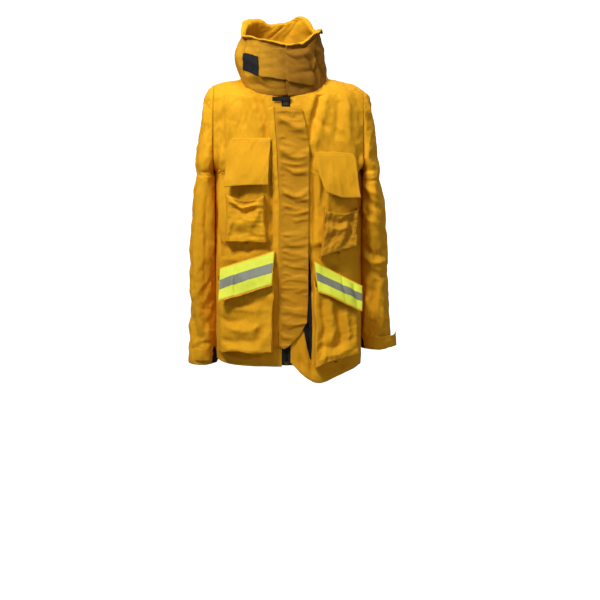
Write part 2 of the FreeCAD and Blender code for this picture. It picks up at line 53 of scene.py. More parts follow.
# ---- the coat's forms, in millimetres ----------------------------------------------------------------
ARMHOLE_X, ARMHOLE_FOOT_Z, SIDE_SEAM_Y = 203.0, -232.0, 8.0
BODY_SIDE_X, SLEEVE_SIDE_X = 200.6, 201.4  # below the armholes, where body and sleeves hang side by side
FRONT_TOP_Y, FRONT_SLOPE = -116.0, 0.049
NECK_TILT, TOP_TILT = math.radians(25), math.radians(23)
NECK_Y, NECK_Z, COLLAR_HEIGHT = -17.0, 27.0, 116.0
ZIP_X, ZIP_TOP_Z, ZIP_BOTTOM_Z = -6.0, -22.0, -735.0
HEM_RIGHT_Z, HEM_BACK_Z = -739.0, -748.0
HEM_LEFT = [(5, -726), (18, -740), (32, -757), (50, -772), (68, -783), (84, -786), (102, -782),
            (125, -772), (160, -760), (210, -750)]
CUFF_Z = {-1: -755.0, 1: -712.0}
LEFT_DROP = 14.0
BODY = [  # height, middle X, half width, back Y, roundness, and how far the front is set back
    (-800, 0, 197, 150, 2.8, 0), (-650, 0, 199, 146, 2.8, 0), (-500, 0, 199, 140, 2.8, 0),
    (-350, 0, 199, 139, 2.8, 0), (-235, 0, 199, 141, 2.7, 0), (-175, 0, 228, 140, 2.5, 0),
    (-110, 0, 234, 130, 2.2, 0), (-60, -2, 238, 116, 1.9, 0.6), (-24, -5, 228, 101, 1.75, 5),
    (-5, -7, 212, 93, 1.8, 19), (12, -11, 192, 89, 1.9, 46), (22, -12, 155, 88, 2.0, 60),
    (28, -12, 122, 87, 2.1, 72), (36, -12, 115, 86, 2.2, 80), (95, -12, 106, 82, 2.2, 90),
]
SLEEVE = [  # height, right and left outer X, inner X, half depth
    (-770, 281, 281, 203, 60), (-580, 275, 276, 200, 72), (-430, 268, 268, 200, 82),
    (-300, 261, 260, 200, 86), (-225, 255, 250, 201, 85), (-160, 248, 240, 190, 77),
    (-100, 239, 231, 176, 70), (-50, 231, 224, 172, 56), (-18, 224, 219, 176, 42),
    (-2, 217, 213, 182, 28), (10, 208, 206, 190, 14),
]
SLEEVE_Y, SLEEVE_ROUND = 5.0, 2.2
COLLAR_START, COLLAR_END = 282.0, -85.4  # degrees round the collar, from its tucked end to its top end
COLLAR = [  # share of its height, middle X and Y, half width and half depth
    (0.0, -12, -17, 113, 108), (0.3, -18, -19, 117, 105), (0.6, -22, -22, 117, 101),
    (1.0, -17, -25, 98, 92),
]
COLLAR_ROUND, COLLAR_AXIS = 2.2, (-17.0, -20.0)


def graded(rows, level):
    """The rows' numbers at a level, in smooth steps that never overshoot the rows."""
    table = np.array(rows, float)
    x, y = table[:, 0], table[:, 1:]
    gap = np.diff(x)
    steep = np.diff(y, axis=0) / gap[:, None]
    slopes = np.vstack([steep[:1], np.zeros((len(x) - 2, y.shape[1])), steep[-1:]])
    for i in range(1, len(x) - 1):
        a, b = steep[i - 1], steep[i]
        w1, w2 = 2 * gap[i] + gap[i - 1], gap[i] + 2 * gap[i - 1]
        same = a * b > 0
        slopes[i][same] = (w1 + w2) / (w1 / a[same] + w2 / b[same])
    i = int(np.clip(np.searchsorted(x, level, "right") - 1, 0, len(gap) - 1))
    t, g = (level - x[i]) / gap[i], gap[i]
    low = (2 * t**3 - 3 * t * t + 1) * y[i] + (t**3 - 2 * t * t + t) * g * slopes[i]
    return low + (3 * t * t - 2 * t**3) * y[i + 1] + (t**3 - t * t) * g * slopes[i + 1]


def ramp(value, start, end):
    """0 at the start, 1 at the end and straight between them."""
    return np.clip((value - start) / (end - start), 0, 1)


def oval(middle_x, middle_y, half_x, half_y, power, degrees):
    """Points of a superellipse at those angles."""
    a = np.radians(degrees)
    c, s = np.cos(a), np.sin(a)
    x = middle_x + half_x * np.sign(c) * np.abs(c) ** (2 / power)
    return np.stack([x, middle_y + half_y * np.sign(s) * np.abs(s) ** (2 / power)], 1)


def spaced(points, count):
    """A polyline's points, spaced evenly along it."""
    steps = np.linalg.norm(np.diff(points, axis=0), axis=1)
    along = np.concatenate([[0], np.cumsum(steps)])
    wanted = np.linspace(0, along[-1], count)
    return np.stack([np.interp(wanted, along, points[:, k]) for k in range(points.shape[1])], 1)


def unit(vectors):
    """The vectors at length 1."""
    return vectors / (np.linalg.norm(vectors, axis=-1, keepdims=True) + 1e-9)


def lengths(P):
    """How far along its row and its column each grid point is."""
    across = np.linalg.norm(np.diff(P, axis=1), axis=2)
    down = np.linalg.norm(np.diff(P, axis=0), axis=2)
    u = np.concatenate([np.zeros((P.shape[0], 1)), np.cumsum(across, 1)], 1)
    v = np.concatenate([np.zeros((1, P.shape[1])), np.cumsum(down, 0)], 0)
    return u, v


def facing(P, inside):
    """Each grid point's outward direction, and whether the grid's own direction had to be turned round."""
    n = unit(np.cross(np.gradient(P, axis=1), np.gradient(P, axis=0)))
    out = P[..., :2] - np.array(inside)
    sign = 1.0 if (n[..., :2] * out).sum() > 0 else -1.0
    return n * sign, sign


def normals(P, inside=BODY_AXIS):
    """Each grid point's outward direction."""
    return facing(P, inside)[0]


# ---- unevenness --------------------------------------------------------------------------------------
def noise(a, b, seed):
    """Smooth noise from -1 to 1 over two coordinates."""
    table = np.random.RandomState(seed).rand(64, 64) * 2 - 1
    i, j = np.floor(a).astype(int), np.floor(b).astype(int)
    fa, fb = a - i, b - j
    fa, fb = fa**3 * (fa * (6 * fa - 15) + 10), fb**3 * (fb * (6 * fb - 15) + 10)
    i, j, i1, j1 = i % 64, j % 64, (i + 1) % 64, (j + 1) % 64
    low = table[i, j] * (1 - fa) + table[i1, j] * fa
    high = table[i, j1] * (1 - fa) + table[i1, j1] * fa
    return low * (1 - fb) + high * fb


def creases(a, b, seed, long, short):
    """Sharp-topped wrinkles, from about -1 to 1, longer along b than along a."""
    wa = a + short * 0.6 * noise(a / short / 2.3, b / long / 1.7, seed + 50)
    wb = b + long * 0.4 * noise(a / short / 1.9, b / long / 2.1, seed + 60)
    ridge = 1 - 2.4 * np.abs(noise(wa / short, wb / long, seed))
    fine = 1 - 2.4 * np.abs(noise(wa / short * 2.1 + 7, wb / long * 1.9 + 3, seed + 70))
    return 0.7 * ridge + 0.3 * fine


def folds(A, B, rows):
    """Drawn folds. A row is (points, width, height): a line over A and B, and the ridge or dip along it."""
    total = np.zeros_like(A)
    for points, width, height in rows:
        line = spaced(np.array(points, float), 14)
        best, along = np.full(A.shape, 1e9), np.zeros_like(A)
        for k in range(len(line) - 1):
            start, step = line[k], line[k + 1] - line[k]
            t = np.clip(((A - start[0]) * step[0] + (B - start[1]) * step[1]) / (step @ step), 0, 1)
            d = np.hypot(A - start[0] - t * step[0], B - start[1] - t * step[1])
            near = d < best
            best, along = np.where(near, d, best), np.where(near, (k + t) / (len(line) - 1), along)
        ends = np.clip(np.minimum(along, 1 - along) * 4 + 0.25, 0, 1)
        total += height * ends * np.exp(-((best / width) ** 2))
    return total


def edge_fade(P, reach, top=True, bottom=True, sides=True):
    """0 on the grid's sewn edges, rising to 1 at that distance from them."""
    u, v = lengths(P)
    fade = np.ones(P.shape[:2])
    if sides:
        fade = np.minimum(fade, np.minimum(u, u[:, -1:] - u) / reach)
    if bottom:
        fade = np.minimum(fade, v / reach)
    if top:
        fade = np.minimum(fade, (v[-1:] - v) / reach)
    fade = np.clip(fade, 0, 1)
    return fade * fade * (3 - 2 * fade)


# ---- meshes ------------------------------------------------------------------------------------------
def new_object(name, verts, faces, materials=(), uv=None):
    """A smooth-shaded mesh object, linked to the scene. Its vertices are in metres."""
    mesh = bpy.data.meshes.new(name)
    mesh.from_pydata([tuple(v) for v in verts], [], [tuple(int(i) for i in f) for f in faces])
    if uv is not None:
        layer = mesh.uv_layers.new(name="cloth")
        index = np.zeros(len(mesh.loops), int)
        mesh.loops.foreach_get("vertex_index", index)
        layer.data.foreach_set("uv", np.asarray(uv, np.float32)[index].ravel())
    mesh.polygons.foreach_set("use_smooth", [True] * len(mesh.polygons))
    for material in materials:
        mesh.materials.append(material)
    obj = bpy.data.objects.new(name, mesh)
    bpy.context.scene.collection.objects.link(obj)
    return obj


def place(obj, body, replaces=()):
    """A finished piece rides on its body, or has its transform baked in, and hides the CAD nodes it stands
    for.
    """
    if isinstance(body, str):
        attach(obj, body)
    else:
        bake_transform(obj)
    if replaces:
        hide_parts(*replaces)
    return obj


def rim_rows(S, rim):
    """Adds a row or column just inside each edge, for a rounded rim."""
    for axis in (0, 1):
        S = np.moveaxis(S, axis, 0)
        for _ in range(2):
            gap = max(np.linalg.norm(S[1, :, :3] - S[0, :, :3], axis=1).mean(), 1e-6)
            extra = S[0] + (S[1] - S[0]) * min(0.45, rim / gap)
            S = np.concatenate([S[:1], extra[None], S[1:]], 0)[::-1]
        S = np.moveaxis(S, 0, axis)
    return S


def grid_faces(ids, turned=False):
    """The four-sided faces between a grid's vertices."""
    a, b, c, d = ids[:-1, :-1], ids[:-1, 1:], ids[1:, 1:], ids[1:, :-1]
    ring = (a, d, c, b) if turned else (a, b, c, d)
    return np.stack([r.ravel() for r in ring], 1)


def cloth(name, P, thick, materials, nodes=(), body="coat", inside=BODY_AXIS,
          rim=1.5, smooth=1):
    """A cloth piece, put on its body: a closed mesh with rounded edges, whose outer face is P."""
    N, sign = facing(P, inside)
    u, v = lengths(P)
    middle = u[:, u.shape[1] // 2]
    S = np.concatenate([P, N, (u - middle[:, None])[..., None], v[..., None]], 2)
    S = rim_rows(S, rim)
    P, N, uv = S[..., :3], unit(S[..., 3:6]), S[..., 6:8] * MM
    rows, columns = P.shape[:2]
    border = np.zeros((rows, columns), bool)
    border[[0, -1], :] = True
    border[:, [0, -1]] = True
    outer = np.where(border[..., None], P - N * thick * 0.5, P)
    inner = P - N * thick
    index = np.arange(rows * columns).reshape(rows, columns)
    inner_index = index.copy()
    inner_index[~border] = rows * columns + np.arange((~border).sum())
    verts = np.concatenate([outer.reshape(-1, 3), inner[~border]]) * MM
    uvs = np.concatenate([uv.reshape(-1, 2), uv[~border]])
    faces = np.concatenate([grid_faces(index, sign < 0), grid_faces(inner_index, sign > 0)])
    obj = new_object(name, verts, faces, materials, uvs)
    if len(materials) > 1:
        slots = np.zeros(len(faces), np.int32)
        slots[len(faces) // 2:] = 1
        obj.data.polygons.foreach_set("material_index", slots)
    if smooth:
        modifier = obj.modifiers.new("smooth", "SUBSURF")
        modifier.levels = modifier.render_levels = smooth
        applied(obj)
    return place(obj, body, nodes)


def applied(obj):
    """The object's modifiers, applied to its mesh."""
    bpy.context.view_layer.update()
    graph = bpy.context.evaluated_depsgraph_get()
    mesh = bpy.data.meshes.new_from_object(obj.evaluated_get(graph))
    obj.modifiers.clear()
    obj.data = mesh


def sampled(P, u, v):
    """The grid's points at those shares of its columns and rows."""
    rows, columns = P.shape[:2]
    x, y = np.clip(u, 0, 1) * (columns - 1), np.clip(v, 0, 1) * (rows - 1)
    j, i = np.minimum(x.astype(int), columns - 2), np.minimum(y.astype(int), rows - 2)
    fx, fy = (x - j)[..., None], (y - i)[..., None]
    low = P[i, j] * (1 - fx) + P[i, j + 1] * fx
    high = P[i + 1, j] * (1 - fx) + P[i + 1, j + 1] * fx
    return low * (1 - fy) + high * fy


def piece_of(P, N, u0, u1, v0, v1, columns, rows, lift):
    """A smaller grid lying on a larger one, moved out by lift."""
    u, v = np.meshgrid(np.linspace(u0, u1, columns), np.linspace(v0, v1, rows))
    return sampled(P, u, v) + sampled(N, u, v) * lift


def stitches(name, lines, body="coat", on_tape=False):
    """Rows of thread: each line is (points, outward directions)."""
    pitch, length, height = 3.3, 2.4, 0.45
    width, material, slot = (0.5, SHADED_PALE_THREAD, "lime_tape") if on_tape else (0.6, SHADED_THREAD, "aramid_shell")
    verts, faces = [], []
    for points, out in lines:
        total = np.linalg.norm(np.diff(points, axis=0), axis=1).sum()
        count = max(2, int(total / pitch))
        both = spaced(np.concatenate([points, out], 1), count + 1)
        p, n = both[:, :3], unit(both[:, 3:])
        middle, normal, way = (p[1:] + p[:-1]) / 2, n[:-1], unit(p[1:] - p[:-1])
        side = np.cross(way, normal)
        for m, w, s, o in zip(middle, way, side, normal):
            k = len(verts)
            verts += [m - w * length / 2 - o * 0.2, m - s * width / 2, m + o * height, m + s * width / 2,
                      m + w * length / 2 - o * 0.2]
            faces += [(k, k + 1, k + 2), (k, k + 2, k + 3), (k + 4, k + 2, k + 1), (k + 4, k + 3, k + 2)]
    return place(new_object(name, np.array(verts) * MM, faces, [material]), body)


def line_on(P, N, u0, v0, u1, v1, lift=0.1, count=160):
    """A straight line of stitching over a grid, as points and outward directions."""
    u, v = np.linspace(u0, u1, count)[None], np.linspace(v0, v1, count)[None]
    out = sampled(N, u, v)[0]
    return sampled(P, u, v)[0] + out * lift, out


def hem_lines(P, N, edges, offsets=(4.0, 10.0)):
    """Topstitching beside a grid's named edges, at those distances: l, r, t (last row), b (first row)."""
    u, v = lengths(P)
    wide, high = u[:, -1].mean(), v[-1].mean()
    lines = []
    for edge in edges:
        for k in offsets:
            share = k / (wide if edge in "lr" else high)
            share = 1 - share if edge in "rt" else share
            ends = (share, 0.02, share, 0.98) if edge in "lr" else (0.02, share, 0.98, share)
            lines.append(line_on(P, N, *ends))
    return lines


def relaxed(P, held, grow, frames, bend, cap):
    """The grid after its cloth has settled, with no point moved further than cap: held is 1 where it is
    sewn down, and grow is its spare cloth."""
    rows, columns = P.shape[:2]
    index = np.arange(rows * columns).reshape(rows, columns)
    obj = new_object("settling", P.reshape(-1, 3) * MM, grid_faces(index))
    group = obj.vertex_groups.new(name="held")
    weights = np.round(held.ravel(), 1)
    for level in np.unique(weights):
        if level > 0:
            group.add([int(i) for i in np.where(weights == level)[0]], float(level), "REPLACE")
    settings = obj.modifiers.new("cloth", "CLOTH").settings
    settings.vertex_group_mass = "held"
    settings.quality = 5
    settings.mass = 0.3
    settings.tension_stiffness = settings.compression_stiffness = 12.0
    settings.shear_stiffness = 12.0 * 0.4
    settings.bending_stiffness = bend
    settings.shrink_min = settings.shrink_max = -grow
    settings.effector_weights.gravity = 0.0
    scene = bpy.context.scene
    for f in range(1, frames + 1):
        scene.frame_set(f)
    graph = bpy.context.evaluated_depsgraph_get()
    mesh = obj.evaluated_get(graph).to_mesh()
    moved = np.zeros(rows * columns * 3)
    mesh.vertices.foreach_get("co", moved)
    moved = moved.reshape(rows, columns, 3) / MM - P
    far = np.linalg.norm(moved, axis=2, keepdims=True) + 1e-9
    scene.frame_set(1)
    bpy.data.objects.remove(obj)
    return P + moved / far * cap * np.tanh(far / cap)


# ---- materials ---------------------------------------------------------------------------------------
def add(tree, kind, values=(), **settings):
    """A node with its settings, and its inputs given as values or as other nodes' outputs."""
    made = tree.nodes.new(kind)
    for key, value in settings.items():
        setattr(made, key, value)
    for key, value in dict(values).items():
        if isinstance(value, bpy.types.NodeSocket):
            tree.links.new(value, made.inputs[key])
        else:
            made.inputs[key].default_value = value
    return made


def maths(tree, operation, a, b=0.0):
    """A sum of two numbers or sockets."""
    return add(tree, "ShaderNodeMath", {0: a, 1: b}, operation=operation).outputs[0]


def mixed(tree, share, a, b):
    """A colour between two others."""
    made = add(tree, "ShaderNodeMix", {"Factor": share}, data_type="RGBA")
    for key, value in ((6, a), (7, b)):
        if isinstance(value, bpy.types.NodeSocket):
            tree.links.new(value, made.inputs[key])
        else:
            made.inputs[key].default_value = (*value, 1)
    return made.outputs[2]


def new_material(name):
    """A material with its nodes, its shader and the place on the object."""
    material = bpy.data.materials.new(name)
    material.use_nodes = True
    tree = material.node_tree
    return material, tree, tree.nodes["Principled BSDF"], add(tree, "ShaderNodeTexCoord").outputs["Object"]


def relief(tree, shader, strength, distance, height):
    """A bump on the shader, with its distance in metres."""
    bump = add(tree, "ShaderNodeBump", {"Strength": strength, "Distance": distance, "Height": height})
    tree.links.new(bump.outputs[0], shader.inputs["Normal"])


def fabric(name, colour, dark, rib=1.3, rough=0.85, bump=0.25, twill=True, blotch=0.5, mapped=True,
           shade_span=None):
    """Woven cloth: ribs from the piece's own UV map, in metres, with uneven dye and soft handling marks, and
    where asked, painted shade that darkens it from one X to another.
    """
    material, tree, shader, place_at = new_material(name)
    uv = add(tree, "ShaderNodeUVMap", uv_map="cloth").outputs[0] if mapped else place_at
    parts = add(tree, "ShaderNodeSeparateXYZ", {0: uv})
    turns = 2 * math.pi / (rib * MM)
    u = maths(tree, "MULTIPLY", parts.outputs[0], turns)
    v = maths(tree, "MULTIPLY", parts.outputs[1 if mapped else 2], turns)
    slant = maths(tree, "SINE", maths(tree, "ADD", u, v) if twill else u)
    cross = maths(tree, "SINE", maths(tree, "MULTIPLY", v, 2.0 if twill else 1.0))
    weave = maths(tree, "MULTIPLY", maths(tree, "ADD", slant, maths(tree, "MULTIPLY", cross, 0.5)), 0.33)
    large = add(tree, "ShaderNodeTexNoise",
                {"Vector": place_at, "Scale": 7.0, "Detail": 4.0, "Roughness": 0.6})
    small = add(tree, "ShaderNodeTexNoise", {"Vector": place_at, "Scale": 120.0, "Detail": 3.0})
    share = maths(tree, "ADD", maths(tree, "MULTIPLY", large.outputs[0], blotch),
                  maths(tree, "MULTIPLY", small.outputs[0], 0.22))
    share = maths(tree, "ADD", share, maths(tree, "MULTIPLY", weave, -0.22))
    share = add(tree, "ShaderNodeMapRange", {0: share, 1: 0.1, 2: 0.75, 3: 0.0, 4: 1.0}).outputs[0]
    if shade_span:  # painted shade: the cloth darkens from one X to another
        across = add(tree, "ShaderNodeSeparateXYZ", {0: place_at}).outputs[0]
        shade_ramp = add(tree, "ShaderNodeMapRange", {0: across, 1: shade_span[0], 2: shade_span[1], 3: -0.25, 4: 0.75})
        total = add(tree, "ShaderNodeMath", {0: share, 1: shade_ramp.outputs[0]}, operation="ADD", use_clamp=True)
        share = total.outputs[0]
    tree.links.new(mixed(tree, share, colour, dark), shader.inputs["Base Color"])
    roughness = add(tree, "ShaderNodeMapRange", {0: large.outputs[0], 3: rough - 0.07, 4: rough + 0.07})
    tree.links.new(roughness.outputs[0], shader.inputs["Roughness"])
    grain = maths(tree, "ADD", weave, maths(tree, "MULTIPLY", small.outputs[0], 0.6))
    relief(tree, shader, bump, 0.0004, grain)
    shader.inputs["Sheen Weight"].default_value = 0.08
    shader.inputs["Sheen Roughness"].default_value = 0.5
    shader.inputs["Sheen Tint"].default_value = (*colour, 1)
    shader.inputs["Specular IOR Level"].default_value = 0.25
    return material


def pile(name, colour):
    """Hook-and-loop: short dense fuzz."""
    material, tree, shader, place_at = new_material(name)
    fuzz = add(tree, "ShaderNodeTexVoronoi", {"Vector": place_at, "Scale": 900.0})
    soft = add(tree, "ShaderNodeTexNoise", {"Vector": place_at, "Scale": 60.0, "Detail": 3.0})
    share = maths(tree, "MULTIPLY", fuzz.outputs[0], soft.outputs[0])
    light = tuple(min(1.0, c * 3 + 0.012) for c in colour)
    tree.links.new(mixed(tree, share, colour, light), shader.inputs["Base Color"])
    relief(tree, shader, 0.7, 0.0006, fuzz.outputs[0])
    shader.inputs["Roughness"].default_value = 0.95
    shader.inputs["Specular IOR Level"].default_value = 0.2
    return material


def metal(name, colour, rough):
    """Handled metal, with fine scratches and dull patches."""
    material, tree, shader, place_at = new_material(name)
    dull = add(tree, "ShaderNodeTexNoise", {"Vector": place_at, "Scale": 180.0, "Detail": 5.0})
    dark = tuple(c * 0.5 for c in colour)
    tree.links.new(mixed(tree, dull.outputs[0], colour, dark), shader.inputs["Base Color"])
    roughness = add(tree, "ShaderNodeMapRange", {0: dull.outputs[0], 3: rough - 0.1, 4: rough + 0.2})
    tree.links.new(roughness.outputs[0], shader.inputs["Roughness"])
    relief(tree, shader, 0.2, 0.0002, dull.outputs[0])
    shader.inputs["Metallic"].default_value = 1.0
    return material


def thread(name, colour):
    """Sewing thread."""
    material, tree, shader, place_at = new_material(name)
    twist = add(tree, "ShaderNodeTexNoise", {"Vector": place_at, "Scale": 400.0, "Detail": 2.0})
    dark = tuple(c * 0.6 for c in colour)
    tree.links.new(mixed(tree, twist.outputs[0], colour, dark), shader.inputs["Base Color"])
    shader.inputs["Roughness"].default_value = 0.7
    return material


SHELL = fabric("aramid_shell", (0.84, 0.405, 0.006), (0.64, 0.28, 0.004))
# painted shade: a darker copy of the shell, for the storm flap and the left chest pocket
PAINTED_SHADE_SHELL = fabric("aramid_shell_painted_shade", (0.68, 0.315, 0.006), (0.47, 0.20, 0.004), blotch=0.65)
# painted shade: a darker copy of the shell for the collar and throat strap, darker still from X -0.1 m to
# 0.03 m, the side away from the key light
SIDE_SHADED_COLLAR_CLOTH = fabric("aramid_shell_painted_side_shade", (0.60, 0.29, 0.007), (0.30, 0.125, 0.004), blotch=0.6,
                 shade_span=(-0.1, 0.03))
LINING = fabric("aramid_facing", (0.42, 0.17, 0.012), (0.30, 0.11, 0.008), rib=1.6)
LIME = fabric("lime_tape", (0.70, 0.76, 0.05), (0.50, 0.55, 0.03), rib=1.0, twill=False, rough=0.6,
              blotch=0.35)
SILVER = fabric("silver_stripe", (0.215, 0.225, 0.175), (0.12, 0.125, 0.09), rib=0.6, twill=False,
                rough=0.42, bump=0.15)
BLACK = pile("hook_and_loop", (0.008, 0.008, 0.009))
TAPE = fabric("zipper_tape", (0.016, 0.015, 0.014), (0.03, 0.027, 0.024), rib=1.0, rough=0.9, mapped=False)
BRASS = metal("zipper_metal", (0.14, 0.11, 0.06), 0.5)
TEETH = metal("zipper_teeth", (0.07, 0.065, 0.055), 0.6)
EYELET = metal("eyelet_metal", (0.05, 0.048, 0.045), 0.5)
LABEL = fabric("label_cloth", (0.72, 0.70, 0.64), (0.62, 0.60, 0.54), rib=0.8, twill=False, blotch=0.2)
# painted shade: both threads are in their cloth's hue but darker, standing for the fine shade along the
# stitch lines
SHADED_THREAD = thread("thread", (0.42, 0.19, 0.012))
SHADED_PALE_THREAD = thread("pale_thread_painted_shade", (0.55, 0.6, 0.1))


# ---- the body ----------------------------------------------------------------------------------------
def body_section(z):
    """The body's section at a height: its middle X, half width, front Y, back Y and roundness."""
    middle_x, half_x, back, power, setback = graded(BODY, z)
    return middle_x, half_x, FRONT_TOP_Y + FRONT_SLOPE * z + setback, back, power


def body_front_y(x, z):
    """The body's front face at X and Z."""
    middle_x, half_x, front, back, power = body_section(z)
    share = np.minimum(np.abs((x - middle_x) / half_x), 1)
    return (front + back) / 2 - (back - front) / 2 * (1 - share**power) ** (1 / power)


def body_grid(levels, first, last, keep, columns):
    """A panel's grid: at each height, the body's section between two angles, where keep(x, y, z) is true."""
    rows = []
    for z in levels:
        middle_x, half_x, front, back, power = body_section(z)
        angles = np.linspace(first, last, 4000)
        ring = oval(middle_x, (front + back) / 2, half_x, (back - front) / 2, power, angles)
        ring = ring[keep(ring[:, 0], ring[:, 1], z)]
        if len(ring) < 2:
            break
        rows.append(np.concatenate([spaced(ring, columns), np.full((columns, 1), z)], 1))
    return np.array(rows)


def below_neck(y, z):
    """Whether a point is under the neck edge, which laps a little up the collar at the sides and back."""
    lap = 4 * ramp(y, -112, -62)
    return z < NECK_Z - 0.4 + lap + (y - NECK_Y) * math.tan(NECK_TILT)


def levels(foot, top, step):
    """Heights from the hem up, closest together where the shoulder is nearly flat."""
    low = np.linspace(foot, -34, int((-34 - foot) / step))
    return np.concatenate([low, np.arange(-31, 8, 2.6), np.arange(8, 32, 0.9), np.arange(32.5, top, 2.5)])


FRONT_FOLDS_RIGHT = [
    ([(-88, -6), (-74, -40), (-60, -86), (-52, -150)], 9, -6),
    ([(-104, -4), (-90, -44), (-76, -92), (-70, -120)], 9, 4.5),
    ([(-66, -14), (-54, -46), (-44, -90), (-40, -150)], 7, 4),
    ([(-128, -12), (-120, -60), (-112, -112)], 9, -5),
    ([(-150, -20), (-148, -76), (-158, -120)], 10, 5),
    ([(-172, -40), (-176, -100), (-180, -170)], 8, -5),
    ([(-191, -160), (-188, -240), (-190, -330), (-186, -450)], 7, -9),
    ([(-180, -150), (-178, -240), (-178, -330), (-176, -440)], 6, 7),
    ([(-56, -408), (-110, -424), (-172, -420)], 7, -8),
    ([(-50, -422), (-100, -444), (-170, -456)], 7, 7),
    ([(-52, -200), (-46, -290), (-44, -360), (-40, -410)], 6, -8),
    ([(-62, -712), (-120, -722), (-186, -708)], 7, 7),
    ([(-66, -728), (-120, -736), (-186, -726)], 5, -5),
]
FRONT_FOLDS_LEFT = [
    ([(88, -2), (80, -36), (66, -80), (58, -130)], 7, -9),
    ([(104, -4), (98, -50), (84, -104), (74, -150)], 10, 4),
    ([(70, -10), (64, -34), (54, -66)], 8, 3),
    ([(60, -62), (84, -88), (112, -104)], 7, -5),
    ([(130, -14), (132, -70), (126, -140)], 9, -4),
    ([(156, -24), (158, -90), (164, -150)], 9, 4),
    ([(202, -205), (190, -232), (178, -262), (190, -300)], 7, -11),
    ([(202, -178), (188, -206), (174, -226)], 7, 9),
    ([(196, -300), (192, -380), (196, -450)], 6, -7),
    ([(64, -180), (70, -270), (68, -350), (66, -440)], 6, -8),
    ([(76, -190), (82, -250), (80, -300)], 6, 6),
    ([(80, -442), (120, -462), (184, -486)], 7, 7),
    ([(10, -640), (20, -690), (38, -745)], 6, -8),
    ([(28, -600), (36, -690), (54, -760)], 6, 8),
    ([(52, -600), (58, -680), (70, -750)], 5, -7),
    ([(80, -742), (120, -744), (172, -726)], 6, -6),
    ([(90, -760), (130, -758), (176, -742)], 6, 5),
]
BACK_FOLDS = [
    ([(-120, -60), (-100, -240), (-118, -420)], 22, -8), ([(118, -70), (104, -260), (124, -430)], 22, -8),
    ([(-40, -120), (-52, -330), (-30, -560)], 26, 6), ([(46, -160), (40, -350), (58, -600)], 24, 6),
    ([(-170, -210), (-150, -300), (-160, -420)], 12, -7), ([(172, -215), (154, -310), (160, -430)], 12, -7),
]


def warped_hem(P):
    """The left front's sagging hem: its lowest rows follow the hem's line."""
    points = np.array(HEM_LEFT, float)
    target = np.interp(P[..., 0], points[:, 0], points[:, 1])
    share = ramp(P[..., 2], -600, HEM_RIGHT_Z)
    move = (target - HEM_RIGHT_Z) * share**1.5
    P[..., 2] += move
    P[..., 1] += FRONT_SLOPE * move
    return P


def body_panel(name, P, seed, drawn, node, soft=1.0):
    """Shapes a body panel with its drawn and chance folds, settles it and gives it its two faces."""
    front = node != "back_panel"
    N = normals(P)
    u, v = lengths(P)
    u = np.abs(P[..., 0]) + (0.9 * (P[..., 1] + 120) if front else 0)
    fade = edge_fade(P, 26)
    x, z = P[..., 0], P[..., 2]
    reach = np.abs(x)
    calm = 0.45 + 0.55 * ramp(z, -150, -270)  # the chest is smoother than the skirt
    depth = 5.0 * soft * noise(u / 62, z / 260, seed) * calm
    depth = depth + 3.4 * soft * creases(u, z, seed + 1, 150, 34) * calm
    depth += 1.6 * soft * creases(u + v * 0.4, z, seed + 2, 40, 20) + 0.7 * creases(z, u, seed + 3, 24, 9)
    depth = depth * fade + folds(x, z, drawn) * edge_fade(P, 10)
    if front:  # pressed flat behind the cargo flaps' seams
        flaps = ramp(z, -548, -538) * ramp(z, -404, -414) * ramp(reach, 26, 34)
        depth = np.where(depth > 0, depth * (1 - flaps), depth) - 1.2 * flaps
    beside = ramp(reach, 193.5, 196.5) * ramp(z, -226, -231)  # flat against the sleeves
    P = P + N * depth[..., None]
    held = 1 - np.clip(edge_fade(P, 12) * 3, 0, 1)
    P = relaxed(P, np.maximum(held, 0.02), grow=0.012, frames=12, bend=4.0, cap=5.0)
    if front:
        P[..., 1] += 1.6 * flaps
        line = FRONT_TOP_Y + FRONT_SLOPE * z - 0.6
        below = ramp(z, -40, -50)
        # clear of the storm flap that lies over it, and of the zip's tapes under it
        P[..., 1] += np.maximum(line - P[..., 1], 0) * (ramp(reach, 76, 62) * below)
        P[..., 1] -= np.maximum(P[..., 1] - line - 2.2, 0) * ramp(reach, 34, 24) * below
    limit = BODY_SIDE_X + (ARMHOLE_X - BODY_SIDE_X) * ramp(z, ARMHOLE_FOOT_Z, ARMHOLE_FOOT_Z + 4)
    P[..., 0] = np.clip(P[..., 0] * (1 - beside) + np.sign(x) * BODY_SIDE_X * beside, -limit, limit)
    cloth(name, P, PANEL, [SHELL, LINING], [node])
    return P, normals(P)


